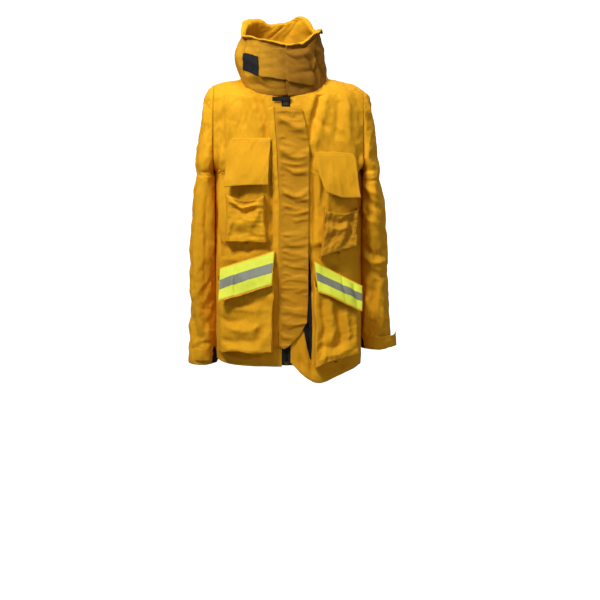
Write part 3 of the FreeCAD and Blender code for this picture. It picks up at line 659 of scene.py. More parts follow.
def make_body():
    """The two fronts and the back, with their stitching and the tapes inside their seams."""
    heights = levels(HEM_RIGHT_Z, 46, 6.0)
    right = body_grid(heights, 270, 170, lambda x, y, z: (x <= ZIP_X - 11)
                      & (y <= SIDE_SEAM_Y - 0.3) & (x >= -ARMHOLE_X) & below_neck(y, z), 60)
    left = body_grid(heights, 270, 370, lambda x, y, z: (x >= ZIP_X + 11)
                     & (y <= SIDE_SEAM_Y - 0.3) & (x <= ARMHOLE_X) & below_neck(y, z), 60)
    back = body_grid(levels(HEM_BACK_Z, 84, 7.0), 222, -42, lambda x, y, z: (y >= SIDE_SEAM_Y - 0.2)
                     & (np.abs(x) <= ARMHOLE_X) & below_neck(y, z), 84)
    panels = {
        "right": body_panel("right_front", right, 11, FRONT_FOLDS_RIGHT, "right_front_panel"),
        "left": body_panel("left_front", warped_hem(left), 23, FRONT_FOLDS_LEFT, "left_front_panel"),
        "back": body_panel("back", back, 37, BACK_FOLDS, "back_panel", soft=1.3),
    }
    for side in ("right", "left"):
        P, N = panels[side]
        stitches(f"{side}_front_stitching", hem_lines(P, N, "b", (6, 12)) + hem_lines(P, N, "l", (4,)))
        E, M = P[:, -1:], N[:, -1:]  # a tape inside the side seam and one inside the shoulder seam
        across = np.linspace(-8, 8, 6)[None, :, None] * np.array([0.0, 1.0, 0.0])
        for part, chosen in (("side", E[:, 0, 2] < -228), ("shoulder", E[:, 0, 2] > 11)):
            G = (E - M * 2.8)[chosen] + across
            cloth(f"{side}_{part}_seam_tape", G, 1.4, [LINING], rim=0.6)
    P, N = panels["back"]
    stitches("back_stitching", hem_lines(P, N, "b", (6, 12)) + [line_on(P, N, 0.5, 0.02, 0.5, 0.97)])
    return panels


def share_at(P, z):
    """The share of a panel's rows at a height, read down its middle column."""
    heights = P[:, P.shape[1] // 2, 2]
    return float(np.interp(z, heights, np.linspace(0, 1, len(heights))))


def on_panel(P, N, points, lift):
    """Points of a finished front panel, seen at those X and Z from the front and moved out by lift."""
    columns = np.linspace(0, 1, P.shape[1])
    uv = np.zeros(points.shape)
    for index in np.ndindex(points.shape[:2]):
        x, z = points[index]
        row = int(np.clip(np.argmin(np.abs(P[:, 20, 2] - z)), 1, len(P) - 2))
        order = np.argsort(np.abs(P[row, :40, 0]))  # the columns that face forwards
        column = np.interp(abs(x), np.abs(P[row, order, 0]), columns[order])
        heights = P[:, int(round(column * (P.shape[1] - 1))), 2]
        uv[index] = column, np.interp(z, heights, np.linspace(0, 1, len(heights)))
    return sampled(P, uv[..., 0], uv[..., 1]) + sampled(N, uv[..., 0], uv[..., 1]) * lift


def make_facings(panels):
    """Hem facings, front facings and the back's trim, all lying on the panels."""
    for side, node in (("right", "right_front_facing"), ("left", "left_front_facing")):
        P, N = panels[side]
        wide = lengths(P)[0][:, -1].mean()
        foot, top = share_at(P, HEM_RIGHT_Z + 10), share_at(P, -70)
        G = piece_of(P, N, 24 / wide, 55 / wide, foot, top, 8, 110, BEHIND)
        cloth(f"{side}_facing", G, FACING, [LINING], [node])
    for side, first, nodes in (("right", 0.2, ["hem_facing"]), ("left", 0.24, []), ("back", 0.01, [])):
        P, N = panels[side]
        G = piece_of(P, N, first, 0.99, 0.004, share_at(P, P[0, 40, 2] + 38), 90, 8, BEHIND)
        cloth(f"{side}_hem_facing", G, FACING, [LINING], nodes)
    P, N = panels["back"]
    tape = piece_of(P, N, 0.02, 0.98, share_at(P, -562), share_at(P, -486), 120, 14, 1.1)
    cloth("back_tape", tape, 0.9, [LIME], ["back_trim_tape"], rim=0.5)
    G = piece_of(P, N, 0.02, 0.98, share_at(P, -536), share_at(P, -512), 120, 6, 1.6)
    cloth("back_stripe", G, 0.5, [SILVER], ["back_trim_stripe"], rim=0.3)
    stitches("back_tape_stitching", hem_lines(tape, normals(tape), "bt", (2.0,)), on_tape=True)


# ---- sleeves -----------------------------------------------------------------------------------------
SLEEVE_FOLDS = {  # across is the distance round the sleeve from its inner seam, towards the front first
    -1: [([(60, -230), (52, -400), (60, -560)], 8, -9), ([(84, -200), (92, -420), (80, -640)], 9, 8),
         ([(34, -250), (28, -420), (36, -600)], 8, 8), ([(116, -120), (110, -300), (118, -470)], 8, -7),
         ([(150, -300), (160, -480), (150, -660)], 10, 6), ([(40, -700), (70, -690), (100, -706)], 6, -5),
         ([(100, -470), (106, -580), (100, -700)], 7, -6), ([(60, -600), (56, -660), (64, -730)], 6, 6)],
    1: [([(14, -256), (54, -300), (96, -322)], 8, -11), ([(12, -226), (46, -260), (88, -284)], 7, 9),
        ([(20, -300), (50, -344), (80, -360)], 7, 7), ([(28, -418), (70, -444), (126, -430)], 7, -9),
        ([(22, -440), (70, -468), (128, -460)], 7, 9), ([(56, -484), (96, -506), (146, -490)], 7, -8),
        ([(70, -520), (66, -590), (76, -660)], 8, -9), ([(92, -500), (100, -590), (96, -670)], 8, 8),
        ([(40, -540), (44, -620), (38, -680)], 7, 8), ([(120, -330), (112, -400), (120, -480)], 8, -6)],
}


def met(P, side):
    """A sleeve whose armhole edges lie on the body's, easing back to its own shape away from them."""
    u, _ = lengths(P)
    for row in range(len(P)):
        z = P[row, 0, 2]
        middle_x, half_x, front, back, power = body_section(z)
        reach = abs(side * ARMHOLE_X - middle_x) / half_x
        if z < ARMHOLE_FOOT_Z or reach > 1:
            continue
        half = (back - front) / 2 * (1 - reach**power) ** (1 / power)
        for column, target in ((0, (front + back) / 2 - half), (-1, (front + back) / 2 + half)):
            away = np.abs(u[row] - u[row, column])
            ease = np.clip(1 - away / (0.45 * u[row, -1]), 0, 1) ** 2
            P[row, :, 1] += (target - P[row, column, 1]) * ease
    return P


def sleeve_grid(side, foot):
    """A sleeve's smooth outer face, from its cuff up to the crest of its shoulder."""
    drop = LEFT_DROP if side > 0 else 0.0
    heights = [np.linspace(foot, -262, 78), np.arange(-256, -40, 6), np.arange(-40, 9.5, 2.6), [10.0]]
    rows = []
    for z in np.concatenate(heights):
        right, left, inner, depth = graded(SLEEVE, z)
        outer = left if side > 0 else right
        angles = np.linspace(180, 540, 4000)
        ring = oval((outer + inner) / 2, SLEEVE_Y, (outer - inner) / 2, depth, SLEEVE_ROUND, angles)
        ring = spaced(ring[ring[:, 0] >= (ARMHOLE_X if z > ARMHOLE_FOOT_Z else 0)], 72)
        z = z - drop * ramp(z, -640, -580)
        rows.append(np.stack([ring[:, 0] * side, ring[:, 1], np.full(72, z)], 1))
    crest = rows[-1].copy()
    crest[:, 0], crest[:, 2] = side * ARMHOLE_X, crest[:, 2] + 1.2
    return met(np.array(rows + [crest]), side)


def make_sleeve(side):
    """A sleeve with its folds, its cuff's facing and slit, and its stitching."""
    word, foot = ("right", "left")[side > 0], CUFF_Z[side]
    body, axis = f"{word}_sleeve_body", (side * 240.0, SLEEVE_Y)
    P = sleeve_grid(side, foot)
    N = normals(P, axis)
    u, _ = lengths(P)
    u += u[0, 36] - u[:, 36:37]
    z, inner = P[..., 2], side * P[..., 0]
    depth = 4.0 * noise(u / 46, z / 300, 70 + side) + 2.6 * creases(u, z, 80 + side, 120, 26)
    depth += 1.6 * creases(u + z * 0.3, z, 90 + side, 34, 18) + 0.7 * creases(z, u, 96 + side, 22, 9)
    depth += (0.6 if side < 0 else 0.85) * folds(u, z, SLEEVE_FOLDS[side])
    P = P + N * (depth * edge_fade(P, 24, bottom=False))[..., None]
    held = 1 - np.clip(edge_fade(P, 14) * 3, 0, 1)
    P = relaxed(P, np.maximum(held, 0.02), grow=0.02, frames=12, bend=3.0, cap=6.0)
    beside = ramp(inner, 207, 204.5) * ramp(z, -229, -233)  # flat against the body
    limit = np.where(z < ARMHOLE_FOOT_Z + 1, SLEEVE_SIDE_X, ARMHOLE_X - 0.4)
    P[..., 0] = side * np.maximum(side * P[..., 0] * (1 - beside) + SLEEVE_SIDE_X * beside, limit)
    N = normals(P, axis)
    bend = ("coat", body, (side * 204 * MM, 0.005, -0.2), (side * 204 * MM, 0.005, -0.38))
    cloth(f"{word}_sleeve_cloth", P, PANEL, [SHELL, LINING], [f"{word}_sleeve"], bend, inside=axis)
    G = piece_of(P, N, 0.01, 0.99, 0.003, share_at(P, foot + 34), 60, 8, BEHIND)
    cloth(f"{word}_cuff_lining", G, FACING, [LINING], [f"{word}_cuff_facing"], body, axis)
    slit_u, slit_top = (0.085, 52) if side < 0 else (0.075, 40)
    U, V = np.meshgrid(np.linspace(0, 1, 8), np.linspace(0, 1, 20))
    low, high = share_at(P, foot + 3), share_at(P, foot + slit_top)
    at_u, at_v = slit_u + (0.012 + (U - 0.5) * 0.05 * (1 - V) ** 0.7) * 1.6, low + (high - low) * V
    G = sampled(P, at_u, at_v) + sampled(N, at_u, at_v) * 0.7
    cloth(f"{word}_cuff_vent", G, 0.9, [BLACK], (), body, axis, rim=0.3)
    stitches(f"{word}_sleeve_stitching", hem_lines(P, N, "b", (5, 11)), body)


# ---- collar ------------------------------------------------------------------------------------------
def collar_tilted(share, x, y):
    """The collar's point at X, and at Y across its tilted section, at a share of its height."""
    _, middle_y, _, _ = graded(COLLAR, share)
    tilt = NECK_TILT + (TOP_TILT - NECK_TILT) * share
    z = NECK_Z + COLLAR_HEIGHT * share + (middle_y - NECK_Y) * math.tan(tilt) + y * math.sin(tilt)
    return np.stack([x, middle_y + y * math.cos(tilt), z], -1)


def collar_ring(share, degrees, grow=0.0):
    """Points round the collar at a share of its height."""
    middle_x, _, half_x, half_y = graded(COLLAR, share)
    ring = oval(middle_x, 0, half_x + grow, half_y + grow, COLLAR_ROUND, degrees)
    return collar_tilted(share, ring[:, 0], ring[:, 1])


def collar_front(x, share, grow):
    """The collar's front face at X, at a share of its height."""
    middle_x, _, half_x, half_y = graded(COLLAR, float(share))
    across = min(1, abs((x - middle_x) / (half_x + grow))) ** COLLAR_ROUND
    return collar_tilted(share, x, -(half_y + grow) * (1 - across) ** (1 / COLLAR_ROUND))


def collar_share(x, z, grow):
    """The share of the collar's height, and one just above it, where its front face is seen at X and Z."""
    low, high = -0.2, 1.2
    for _ in range(24):
        middle = (low + high) / 2
        low, high = (middle, high) if collar_front(x, middle, grow)[2] < z else (low, middle)
    return low, high


RIM = [  # degrees round the collar, then how far its rim rises and how far it rolls outwards
    (-100, 2, 4), (-57, 1, 4), (-46, 10, 6), (-35, 16, 9), (-20, 18, 14), (-5, 4, 9), (10, -4, 8),
    (30, -11, 7), (45, 4, 6), (63, 16, 5), (80, 3, 7), (105, -7, 10), (130, 9, 13), (152, 13, 15),
    (175, 6, 14), (192, 0, 11), (210, 6, 7), (224, 12, 5), (251, 9, 4), (282, 2, 4),
]


def collar_uv(x, z):
    """Where the collar's grid has the point seen at X and Z from the front, as shares across and up."""
    share = float(np.clip(collar_share(x, z, 0)[0], 0, 1))
    middle_x, _, half_x, _ = graded(COLLAR, share)
    turn = math.degrees(math.acos(math.copysign(abs((x - middle_x) / half_x) ** 1.1, x - middle_x)))
    degrees = -turn if x > ZIP_X else 360 - turn
    return (COLLAR_START - degrees) / (COLLAR_START - COLLAR_END), share * 29 / 36


def on_cloth(P, N, points, lift):
    """Points of the finished collar, seen at those X and Z from the front and moved out by lift."""
    uv = np.array([[collar_uv(x, z) for x, z in row] for row in points])
    out = sampled(N, uv[..., 0], uv[..., 1])
    return sampled(P, uv[..., 0], uv[..., 1]) + out * np.asarray(lift)[..., None]


def collar_grid():
    """The collar's smooth outer face: 30 rows up the band, then 7 that roll its rim outwards."""
    degrees = np.linspace(COLLAR_START, COLLAR_END, 140)
    rise, roll = np.array([graded(RIM, float(a)) for a in degrees]).T
    tuck = 6.0 * ramp(degrees, 268, 276)
    rows = []
    for share in np.linspace(0, 1, 30):
        ring = np.array([collar_ring(share, np.array([a]), -t)[0] for a, t in zip(degrees, tuck)])
        high = ramp(share, 0.5, 1)
        ring[:, 2] += rise * high**2 * (3 - 2 * high)
        rows.append(ring)
    top, below = rows[-1], rows[-2]
    up = (top - below) / np.linalg.norm(top - below, axis=1, keepdims=True)
    away = (top - top.mean(0)) * (1, 1, 0)
    away /= np.linalg.norm(away, axis=1, keepdims=True)
    for k in range(1, 8):
        turn = k / 7 * math.pi * 0.75
        rows.append(top + up * math.sin(turn) * (3 + roll[:, None] * 0.5)
                    + away * (roll[:, None] * (1 - math.cos(turn)) * 0.7))
    return np.array(rows)


def make_collar():
    """One band round the neck; its right end tucks behind its left end at the front."""
    P = collar_grid()
    N = normals(P, COLLAR_AXIS)
    u, v = lengths(P)
    depth = 3.2 * noise(u / 34, v / 90, 5) + 2.6 * creases(u, v, 6, 90, 24) + 1.4 * creases(v, u, 8, 60, 18)
    drawn = [([(602, 10), (610, 60), (604, 116)], 6, -7), ([(618, 14), (624, 60), (618, 116)], 6, 6),
             ([(634, 10), (640, 56), (632, 110)], 6, -7), ([(586, 14), (590, 60), (584, 110)], 6, 5),
             ([(60, 20), (90, 26), (130, 14)], 7, -6), ([(50, 44), (90, 50), (140, 34)], 8, 5)]
    P = P + N * ((depth + folds(u, v, drawn)) * edge_fade(P, 22, top=False, sides=False))[..., None]
    held = 1 - np.clip(edge_fade(P, 14, top=False, sides=False) * 2, 0, 1)
    P = relaxed(P, np.maximum(held, 0.05), grow=0.02, frames=10, bend=3.0, cap=4.0)
    N = normals(P, COLLAR_AXIS)
    # painted shade: the collar's outer face takes the darker, side-shaded copy of the shell
    cloth("collar", P, 5.0, [SIDE_SHADED_COLLAR_CLOTH, SHELL], ["collar_shell", "collar_lining"], inside=COLLAR_AXIS, rim=2.2)
    stitches("collar_stitching", hem_lines(P, N, "b", (5, 11)))
    make_throat_strap(P, N)
    for name, left, right, count, lift, thick, node, body in (
            ("collar_patch", [(-117, 50), (-119, 90)], [(-73, 33), (-77, 77)], 14, 2.6, 1.8,
             "collar_loop_patch", "coat"),
            ("strap_patch", [(-68, 42), (-68, 78)], [(-32, 34), (-32, 72)], 12, 2.2, 1.2,
             "collar_strap_hook_patch", "collar_strap_body")):
        G = on_cloth(P, N, between(left, right, count, count), np.full((count, count), lift))
        cloth(name, G, thick, [BLACK], [node], body, COLLAR_AXIS, rim=0.7)


def make_throat_strap(P, N):
    """The throat strap: from its sewn edge on the left, over the collar's front, to the patch."""
    edge = np.array([(-72, 35), (-66, 31), (0, 18), (58, 8), (70, 11)], float)
    xs = np.linspace(70, -73, 44)
    foot = np.interp(xs, edge[:, 0], edge[:, 1])
    top = np.array([collar_front(x, 0.95, 0)[2] for x in xs])
    XZ = np.array([[(x, a + (b - a) * t) for x, a, b in zip(xs, foot, top)] for t in np.linspace(0, 1, 26)])
    flat = np.array([[collar_front(x, sum(collar_share(x, z, 6.4)) / 2, 6.4) for x, z in row] for row in XZ])
    u, v = lengths(flat)
    depth = 1.8 * noise(u / 44, v / 50, 15) + 1.4 * creases(v, u, 16, 90, 26)
    depth += folds(u, v, [([(10, 84), (60, 70), (120, 78)], 8, 4), ([(6, 34), (60, 26), (110, 40)], 9, -3)])
    loose = 3.0 * ramp(u, 0, 40) * (1 - 0.6 * v / v[-1:])
    G = on_cloth(P, N, XZ, 5.6 + np.maximum(depth, -2) + loose)
    for _ in range(2):
        G[1:-1, 1:-1] = (G[:-2, 1:-1] + G[2:, 1:-1] + G[1:-1, :-2] + G[1:-1, 2:] + 4 * G[1:-1, 1:-1]) / 8
    bend = ("coat", "collar_strap_body", (0.074, -0.1, 0.06), (0.058, -0.1, 0.06))
    # painted shade: the strap's outer face takes the darker, side-shaded copy of the shell
    cloth("throat_strap", G, 3.2, [SIDE_SHADED_COLLAR_CLOTH, LINING], ["collar_strap"], bend, inside=COLLAR_AXIS)
    lines = hem_lines(G, normals(G, COLLAR_AXIS), "rb", (4, 10))
    stitches("throat_strap_stitching", lines, "collar_strap_body")


# ---- flat pieces on sloping planes -------------------------------------------------------------------
def on_plane(plane, x, z):
    """A sloping plane's point seen at X and Z from the front. A plane is a point, and its yaw and pitch."""
    px, py, pz, yaw, pitch = plane
    yaw, pitch = math.radians(yaw), math.radians(pitch)
    n = np.array([math.sin(yaw) * math.cos(pitch), -math.cos(yaw) * math.cos(pitch), math.sin(pitch)])
    y = py - (n[0] * (x - px) + n[2] * (z - pz)) / n[1]
    return np.stack([x, y, z], -1)


def between(left, right, columns, rows, bottom=None, top=None):
    """A grid of X and Z inside four edges: left and right run upwards, bottom and top run left to right.
    Where bottom or top isn't given, it runs straight between the side edges' ends."""
    bottom, top = bottom or (left[0], right[0]), top or (left[-1], right[-1])
    l, r = spaced(np.array(left, float), rows)[:, None], spaced(np.array(right, float), rows)[:, None]
    b, t = spaced(np.array(bottom, float), columns)[None], spaced(np.array(top, float), columns)[None]
    u, v = np.linspace(0, 1, columns)[None, :, None], np.linspace(0, 1, rows)[:, None, None]
    flat = l * (1 - u) + r * u + b * (1 - v) + t * v
    return flat - (l[:1] * (1 - u) + r[:1] * u) * (1 - v) - (l[-1:] * (1 - u) + r[-1:] * u) * v


FLAPS = {  # each flap's plane and edges, and the folds of the cargo flaps' tapes
    "right_chest": {
        "plane": (-45, -130, -127, -13, 12), "left": [(-172, -257), (-163, -158), (-148, -128)],
        "right": [(-53, -249), (-45, -126)], "bottom": [(-172, -257), (-112, -251), (-53, -249)]},
    "left_chest": {
        "plane": (67, -132, -165, 17, 12), "left": [(99, -270), (80, -222), (67, -163)],
        "right": [(192, -286), (180, -182), (172, -169)], "bottom": [(99, -270), (145, -285), (192, -286)],
        "top": [(67, -163), (120, -163), (172, -169)]},
    "right_cargo": {
        "plane": (-35, -144, -423, -14, 27), "left": [(-186, -560), (-184, -472)],
        "right": [(-42, -512), (-35, -423)],
        "folds": [([(50, -5), (47, 45), (50, 95)], 3.5, -3.2), ([(40, 0), (38, 90)], 6, 1.5)]},
    "left_cargo": {
        "plane": (66, -143, -451, 15, 27), "left": [(78, -530), (66, -451)],
        "right": [(196, -583), (198, -519)],
        "folds": [([(84, -5), (82, 45), (86, 95)], 3.5, -3.5),
                  ([(118, -5), (116, 40), (120, 95)], 3.5, -3.5),
                  ([(100, 0), (100, 90)], 8, 2.0), ([(134, 0), (134, 90)], 6, 2.0)]},
}


def make_flap(name, spec, seed):
    """A pocket flap with its hooks, and a cargo flap's lime tape and silver stripe."""
    cargo, body = "cargo" in name, f"{name}_flap_body"
    XZ = between(spec["left"], spec["right"], 34, 28, spec.get("bottom"), spec.get("top"))
    P = on_plane(spec["plane"], XZ[..., 0], XZ[..., 1])
    N = normals(P)
    P = P + N * PANEL
    u, v = lengths(P)
    w = v / v[-1:]
    depth = 2.2 * noise(u / 45, v / 45, seed) + 1.6 * creases(u, v, seed + 1, 60, 24)
    depth += (1.8 if cargo else 2.6) * np.sin(w * math.pi) * np.sin(u / u[:, -1:] * math.pi)
    depth += folds(u, v, spec.get("folds", ()))
    depth += 2.0 * np.clip(1 - w * 4, 0, 1) * noise(u / 30, v * 0, seed + 4)
    P = P + N * (depth * np.clip(v[-1:] - v, 0, 14) / 14)[..., None]
    N = normals(P)
    cloth(f"{name}_flap_cloth", P, PANEL, [SHELL, LINING], [f"{name}_flap"], body)
    if cargo:
        tape = piece_of(P, N, 0.015, 0.985, 0.055, 0.95, 60, 26, 0.9)
        cloth(f"{name}_tape", tape, 0.9, [LIME], [f"{name}_trim_tape"], body, rim=0.4)
        n = normals(tape)
        G = piece_of(tape, n, 0.004, 0.996, 0.345, 0.655, 60, 10, 0.5)
        cloth(f"{name}_stripe", G, 0.4, [SILVER], [f"{name}_trim_stripe"], body, rim=0.3)
        stitches(f"{name}_tape_stitching", hem_lines(tape, n, "bt", (2.0,)), body, on_tape=True)
    else:
        lines = hem_lines(P, N, "t", (5, 14)) + hem_lines(P, N, "lrb", (5, 11))
        stitches(f"{name}_flap_stitching", lines, body)
    G = piece_of(P, N, 0.3, 0.7, 0.06, 0.22, 12, 6, -3.05)
    cloth(f"{name}_hooks", G, 1.4, [BLACK], [f"{name}_flap_hooks"], body, rim=0.6)


POCKETS = {  # each pocket's plane, the corners of its front and of its base, its mouth's Z, sag and folds
    "right_chest": {
        "plane": (-65, -155, -300, -13, 0), "front": [(-160, -258), (-66, -256), (-65, -402), (-163, -396)],
        "base": [(-168, -214), (-60, -212), (-58, -408), (-171, -402)], "mouth": -276, "sag": 15,
        "folds": [([(12, 118), (50, 92), (92, 112)], 8, 6), ([(14, 104), (50, 78), (90, 98)], 7, -7),
                  ([(10, 60), (40, 48), (84, 62)], 12, 5), ([(16, 20), (50, 28), (86, 18)], 8, -4),
                  ([(70, 40), (84, 70), (88, 110)], 8, 4)]},
    "left_chest": {
        "plane": (92, -158, -350, 15, 0), "front": [(100, -290), (184, -294), (183, -415), (92, -436)],
        "base": [(96, -252), (190, -256), (189, -422), (84, -444)], "mouth": -316, "sag": 8,
        "folds": [([(10, 100), (44, 80), (80, 96)], 8, -5), ([(14, 84), (40, 60), (76, 70)], 9, 5),
                  ([(20, 20), (34, 60), (30, 104)], 7, -5), ([(50, 16), (60, 50), (58, 90)], 8, 5),
                  ([(70, 20), (78, 60), (74, 100)], 6, -4)]},
    "right_cargo": {
        "plane": (-45, -181, -600, -13, 6), "front": [(-178, -528), (-38, -486), (-46, -692), (-170, -694)],
        "base": [(-199, -500), (-36, -470), (-42, -702), (-199, -700)],
        "folds": [([(10, 160), (60, 136), (130, 150)], 9, -5), ([(14, 140), (64, 118), (128, 128)], 9, 5),
                  ([(8, 100), (50, 84), (100, 96)], 8, -5), ([(30, 70), (80, 60), (130, 84)], 9, 5),
                  ([(12, 40), (60, 30), (120, 44)], 8, -5), ([(96, 30), (116, 80), (112, 140)], 8, 4),
                  ([(30, 14), (80, 10), (130, 20)], 7, 4)]},
    "left_cargo": {
        "plane": (75, -181, -600, 14, 6), "front": [(74, -518), (186, -566), (182, -700), (76, -728)],
        "base": [(68, -500), (199, -545), (199, -708), (68, -736)],
        "folds": [([(22, 190), (30, 120), (22, 40)], 8, -7), ([(42, 190), (50, 120), (46, 40)], 9, 6),
                  ([(66, 170), (68, 110), (74, 40)], 8, -7), ([(88, 160), (90, 100), (92, 40)], 8, 6),
                  ([(10, 60), (50, 44), (100, 52)], 8, -4), ([(14, 26), (60, 20), (104, 30)], 7, 4)]},
}


GUSSET = 7  # columns up each side wall


def spread(corners, across, up):
    """Points inside four corners, which go round from the top left, at shares across and up."""
    top_left, top_right, foot_right, foot_left = corners
    return ((foot_left * (1 - across) + foot_right * across) * (1 - up)
            + (top_left * (1 - across) + top_right * across) * up)


def pocket_grid(spec, seed):
    """A bellows pocket's smooth outer face, how deep each point is into it and the shares across and up."""
    base, front = np.array(spec["base"], float), np.array(spec["front"], float)
    if "mouth" in spec:  # an open pocket ends at its mouth
        front[:2, 1] = spec["mouth"], spec["mouth"] - 2
        base[:2, 1] = spec["mouth"] + 2.0, spec["mouth"]
    wall = np.linspace(0, 1, GUSSET)
    F, G = np.meshgrid(np.concatenate([wall, np.ones(28), np.linspace(1, 0, GUSSET)]),
                       np.concatenate([np.linspace(0, 1, 6), np.ones(34)]))
    A, R = np.meshgrid(np.concatenate([np.zeros(GUSSET), np.linspace(0, 1, 30)[1:-1], np.ones(GUSSET)]),
                       np.concatenate([np.zeros(6), np.linspace(0, 1, 35)[1:]]))
    depth = np.minimum(F, G)
    low = spread(base, A[..., None], R[..., None])
    XZ = low + (spread(front, A[..., None], R[..., None]) - low) * depth[..., None]
    XZ[..., 0] += 3.2 * noise(R * 4.3, np.round(A) * 3.0 + 0.4, seed + 5) * np.abs(2 * A - 1) ** 3
    XZ[..., 1] += 4.5 * noise(A * 3.1, A * 0 + 0.3, seed + 6) * (1 - R) ** 2
    outer_y = on_plane(spec["plane"], XZ[..., 0], XZ[..., 1])[..., 1]
    inner_y = np.array([[float(body_front_y(x, z)) for x, z in row] for row in XZ]) - 1.5
    y = inner_y + (outer_y - inner_y) * (1 - (1 - depth) ** 2.2)
    return np.stack([XZ[..., 0], y, XZ[..., 1]], 2), depth, F, A, R


def make_pocket(name, spec, seed):
    """A bellows pocket: walls that flare from the body to a slack front, closed at its foot."""
    P, depth, F, A, R = pocket_grid(spec, seed)
    N = normals(P)
    x, z = P[..., 0] - P[..., :1, 0], P[..., 2] - P[:1, :, 2]
    bump = 3.0 * noise(x / 36, z / 40, seed) + 2.2 * creases(x, z, seed + 1, 50, 20)
    bump += 1.6 * creases(z, x, seed + 2, 34, 13) + 1.15 * folds(x, z, spec["folds"])
    bump += 0.8 * creases(z + x, z - x, seed + 3, 20, 8)
    P = P + N * (bump * np.clip(depth * 1.5 - 0.5, 0, 1))[..., None]
    if "sag" in spec:  # the open lip hangs down and forwards
        lip = np.clip((R - 0.7) / 0.3, 0, 1) ** 1.3 * np.sin(A * math.pi) * (F > 0.99)
        P[..., 2] -= spec["sag"] * lip
        P[..., 1] -= 7.0 * lip
    held = np.where(depth < 0.35, 1.0, 0.02)
    held[-1] = np.maximum(held[-1], 0.6)
    P = relaxed(P, held, grow=0.035, frames=14, bend=1.5, cap=6.0)
    N = normals(P)
    # painted shade: the left chest pocket lies in its flap's shadow, so it takes the darker copy of the
    # shell
    outer = PAINTED_SHADE_SHELL if name == "left_chest" else SHELL
    cloth(f"{name}_pocket_cloth", P, POCKET, [outer, LINING], [f"{name}_pocket"])
    last = P.shape[1] - 1
    left, right, foot = (GUSSET - 0.5) / last, (last + 0.5 - GUSSET) / last, 6.0 / (P.shape[0] - 1)
    lines = [line_on(P, N, left, foot, left, 0.99), line_on(P, N, right, foot, right, 0.99),
             line_on(P, N, left, foot, right, foot)]
    if "mouth" in spec:
        lines += [line_on(P, N, left, v, right, v) for v in (0.97, 0.86)]
    stitches(f"{name}_pocket_stitching", lines)
    return P, N


def make_pockets(panels):
    """The pockets, the loop patches that their flaps close on, and the flaps."""
    first = {"chest", "cargo"}
    for k, (name, spec) in enumerate(POCKETS.items()):
        P, N = make_pocket(name, spec, 130 + 10 * k)
        side, kind = name.split("_")
        if kind == "cargo":
            G = piece_of(P, N, 0.36, 0.64, 0.955, 0.995, 14, 5, 1.3)
        else:
            middle = (spec["front"][0][0] + spec["front"][1][0]) / 2
            Z = np.linspace(-226, -206, 5) - (32 if side == "left" else 0)
            XZ = np.stack(np.meshgrid(np.linspace(middle - 26, middle + 26, 14), Z), 2)
            G = on_panel(*panels[side], XZ, 1.8)
        nodes = [f"{kind}_pocket_loop_patches"] if kind in first else []
        cloth(f"{name}_pocket_patch", G, 1.2, [BLACK], nodes, rim=0.5)
        first.discard(kind)
    for k, (name, spec) in enumerate(FLAPS.items()):
        make_flap(name, spec, 180 + 10 * k)


# ---- the front closure -------------------------------------------------------------------------------
def front_plane(x, z, lift):
    """The fronts' plane at X and Z, moved out by lift."""
    pitch = math.atan(FRONT_SLOPE)
    n = np.array([0.0, -math.cos(pitch), math.sin(pitch)])
    return np.stack([x, FRONT_TOP_Y + FRONT_SLOPE * z, z], -1) + n * lift


STORM_FOLDS = [
    ([(-14, -214), (14, -232), (52, -230)], 6, -9), ([(-14, -286), (16, -304), (52, -300)], 6, -9),
    ([(-14, -340), (18, -358), (52, -350)], 6, -8), ([(-14, -196), (14, -216), (50, -214)], 7, 5),
    ([(-12, -268), (16, -286), (50, -284)], 7, 5), ([(-30, -88), (0, -122), (40, -142)], 8, -8),
    ([(-28, -66), (6, -94), (44, -108)], 8, 6), ([(-30, -150), (10, -176), (50, -180)], 8, 5),
    ([(-12, -470), (20, -486), (50, -478)], 6, -6), ([(-12, -560), (16, -574), (48, -562)], 6, -6),
    ([(-16, -640), (4, -646), (26, -634)], 6, -5),
]


def puckers(share, z):
    """Puckers that start at the storm flap's seam, dip and cross the flap."""
    rng = np.random.RandomState(3)
    depth = np.zeros_like(z)
    for spot in np.cumsum(rng.uniform(14, 44, 24)) - 676:
        tall, bow, reach = rng.uniform(1.2, 4.4), rng.uniform(0, 17), rng.uniform(0.35, 1.3)
        tall *= 0.5 if spot < -430 else 1.0
        width = rng.uniform(4.0, 9.0)
        dip = bow * np.sin(np.clip(share * 1.1, 0, 1) * math.pi * 0.8)
        line = z - (spot - dip + rng.uniform(-6, 6) * share)
        ends = np.clip((share - 0.1) * 6, 0, 1) * np.clip((reach - share) * 4 + 0.3, 0.15, 1)
        valley = 0.8 * np.exp(-(((line + 1.7 * width) / width) ** 2))
        depth += tall * ends * (np.exp(-((line / width) ** 2)) - valley)
    return depth


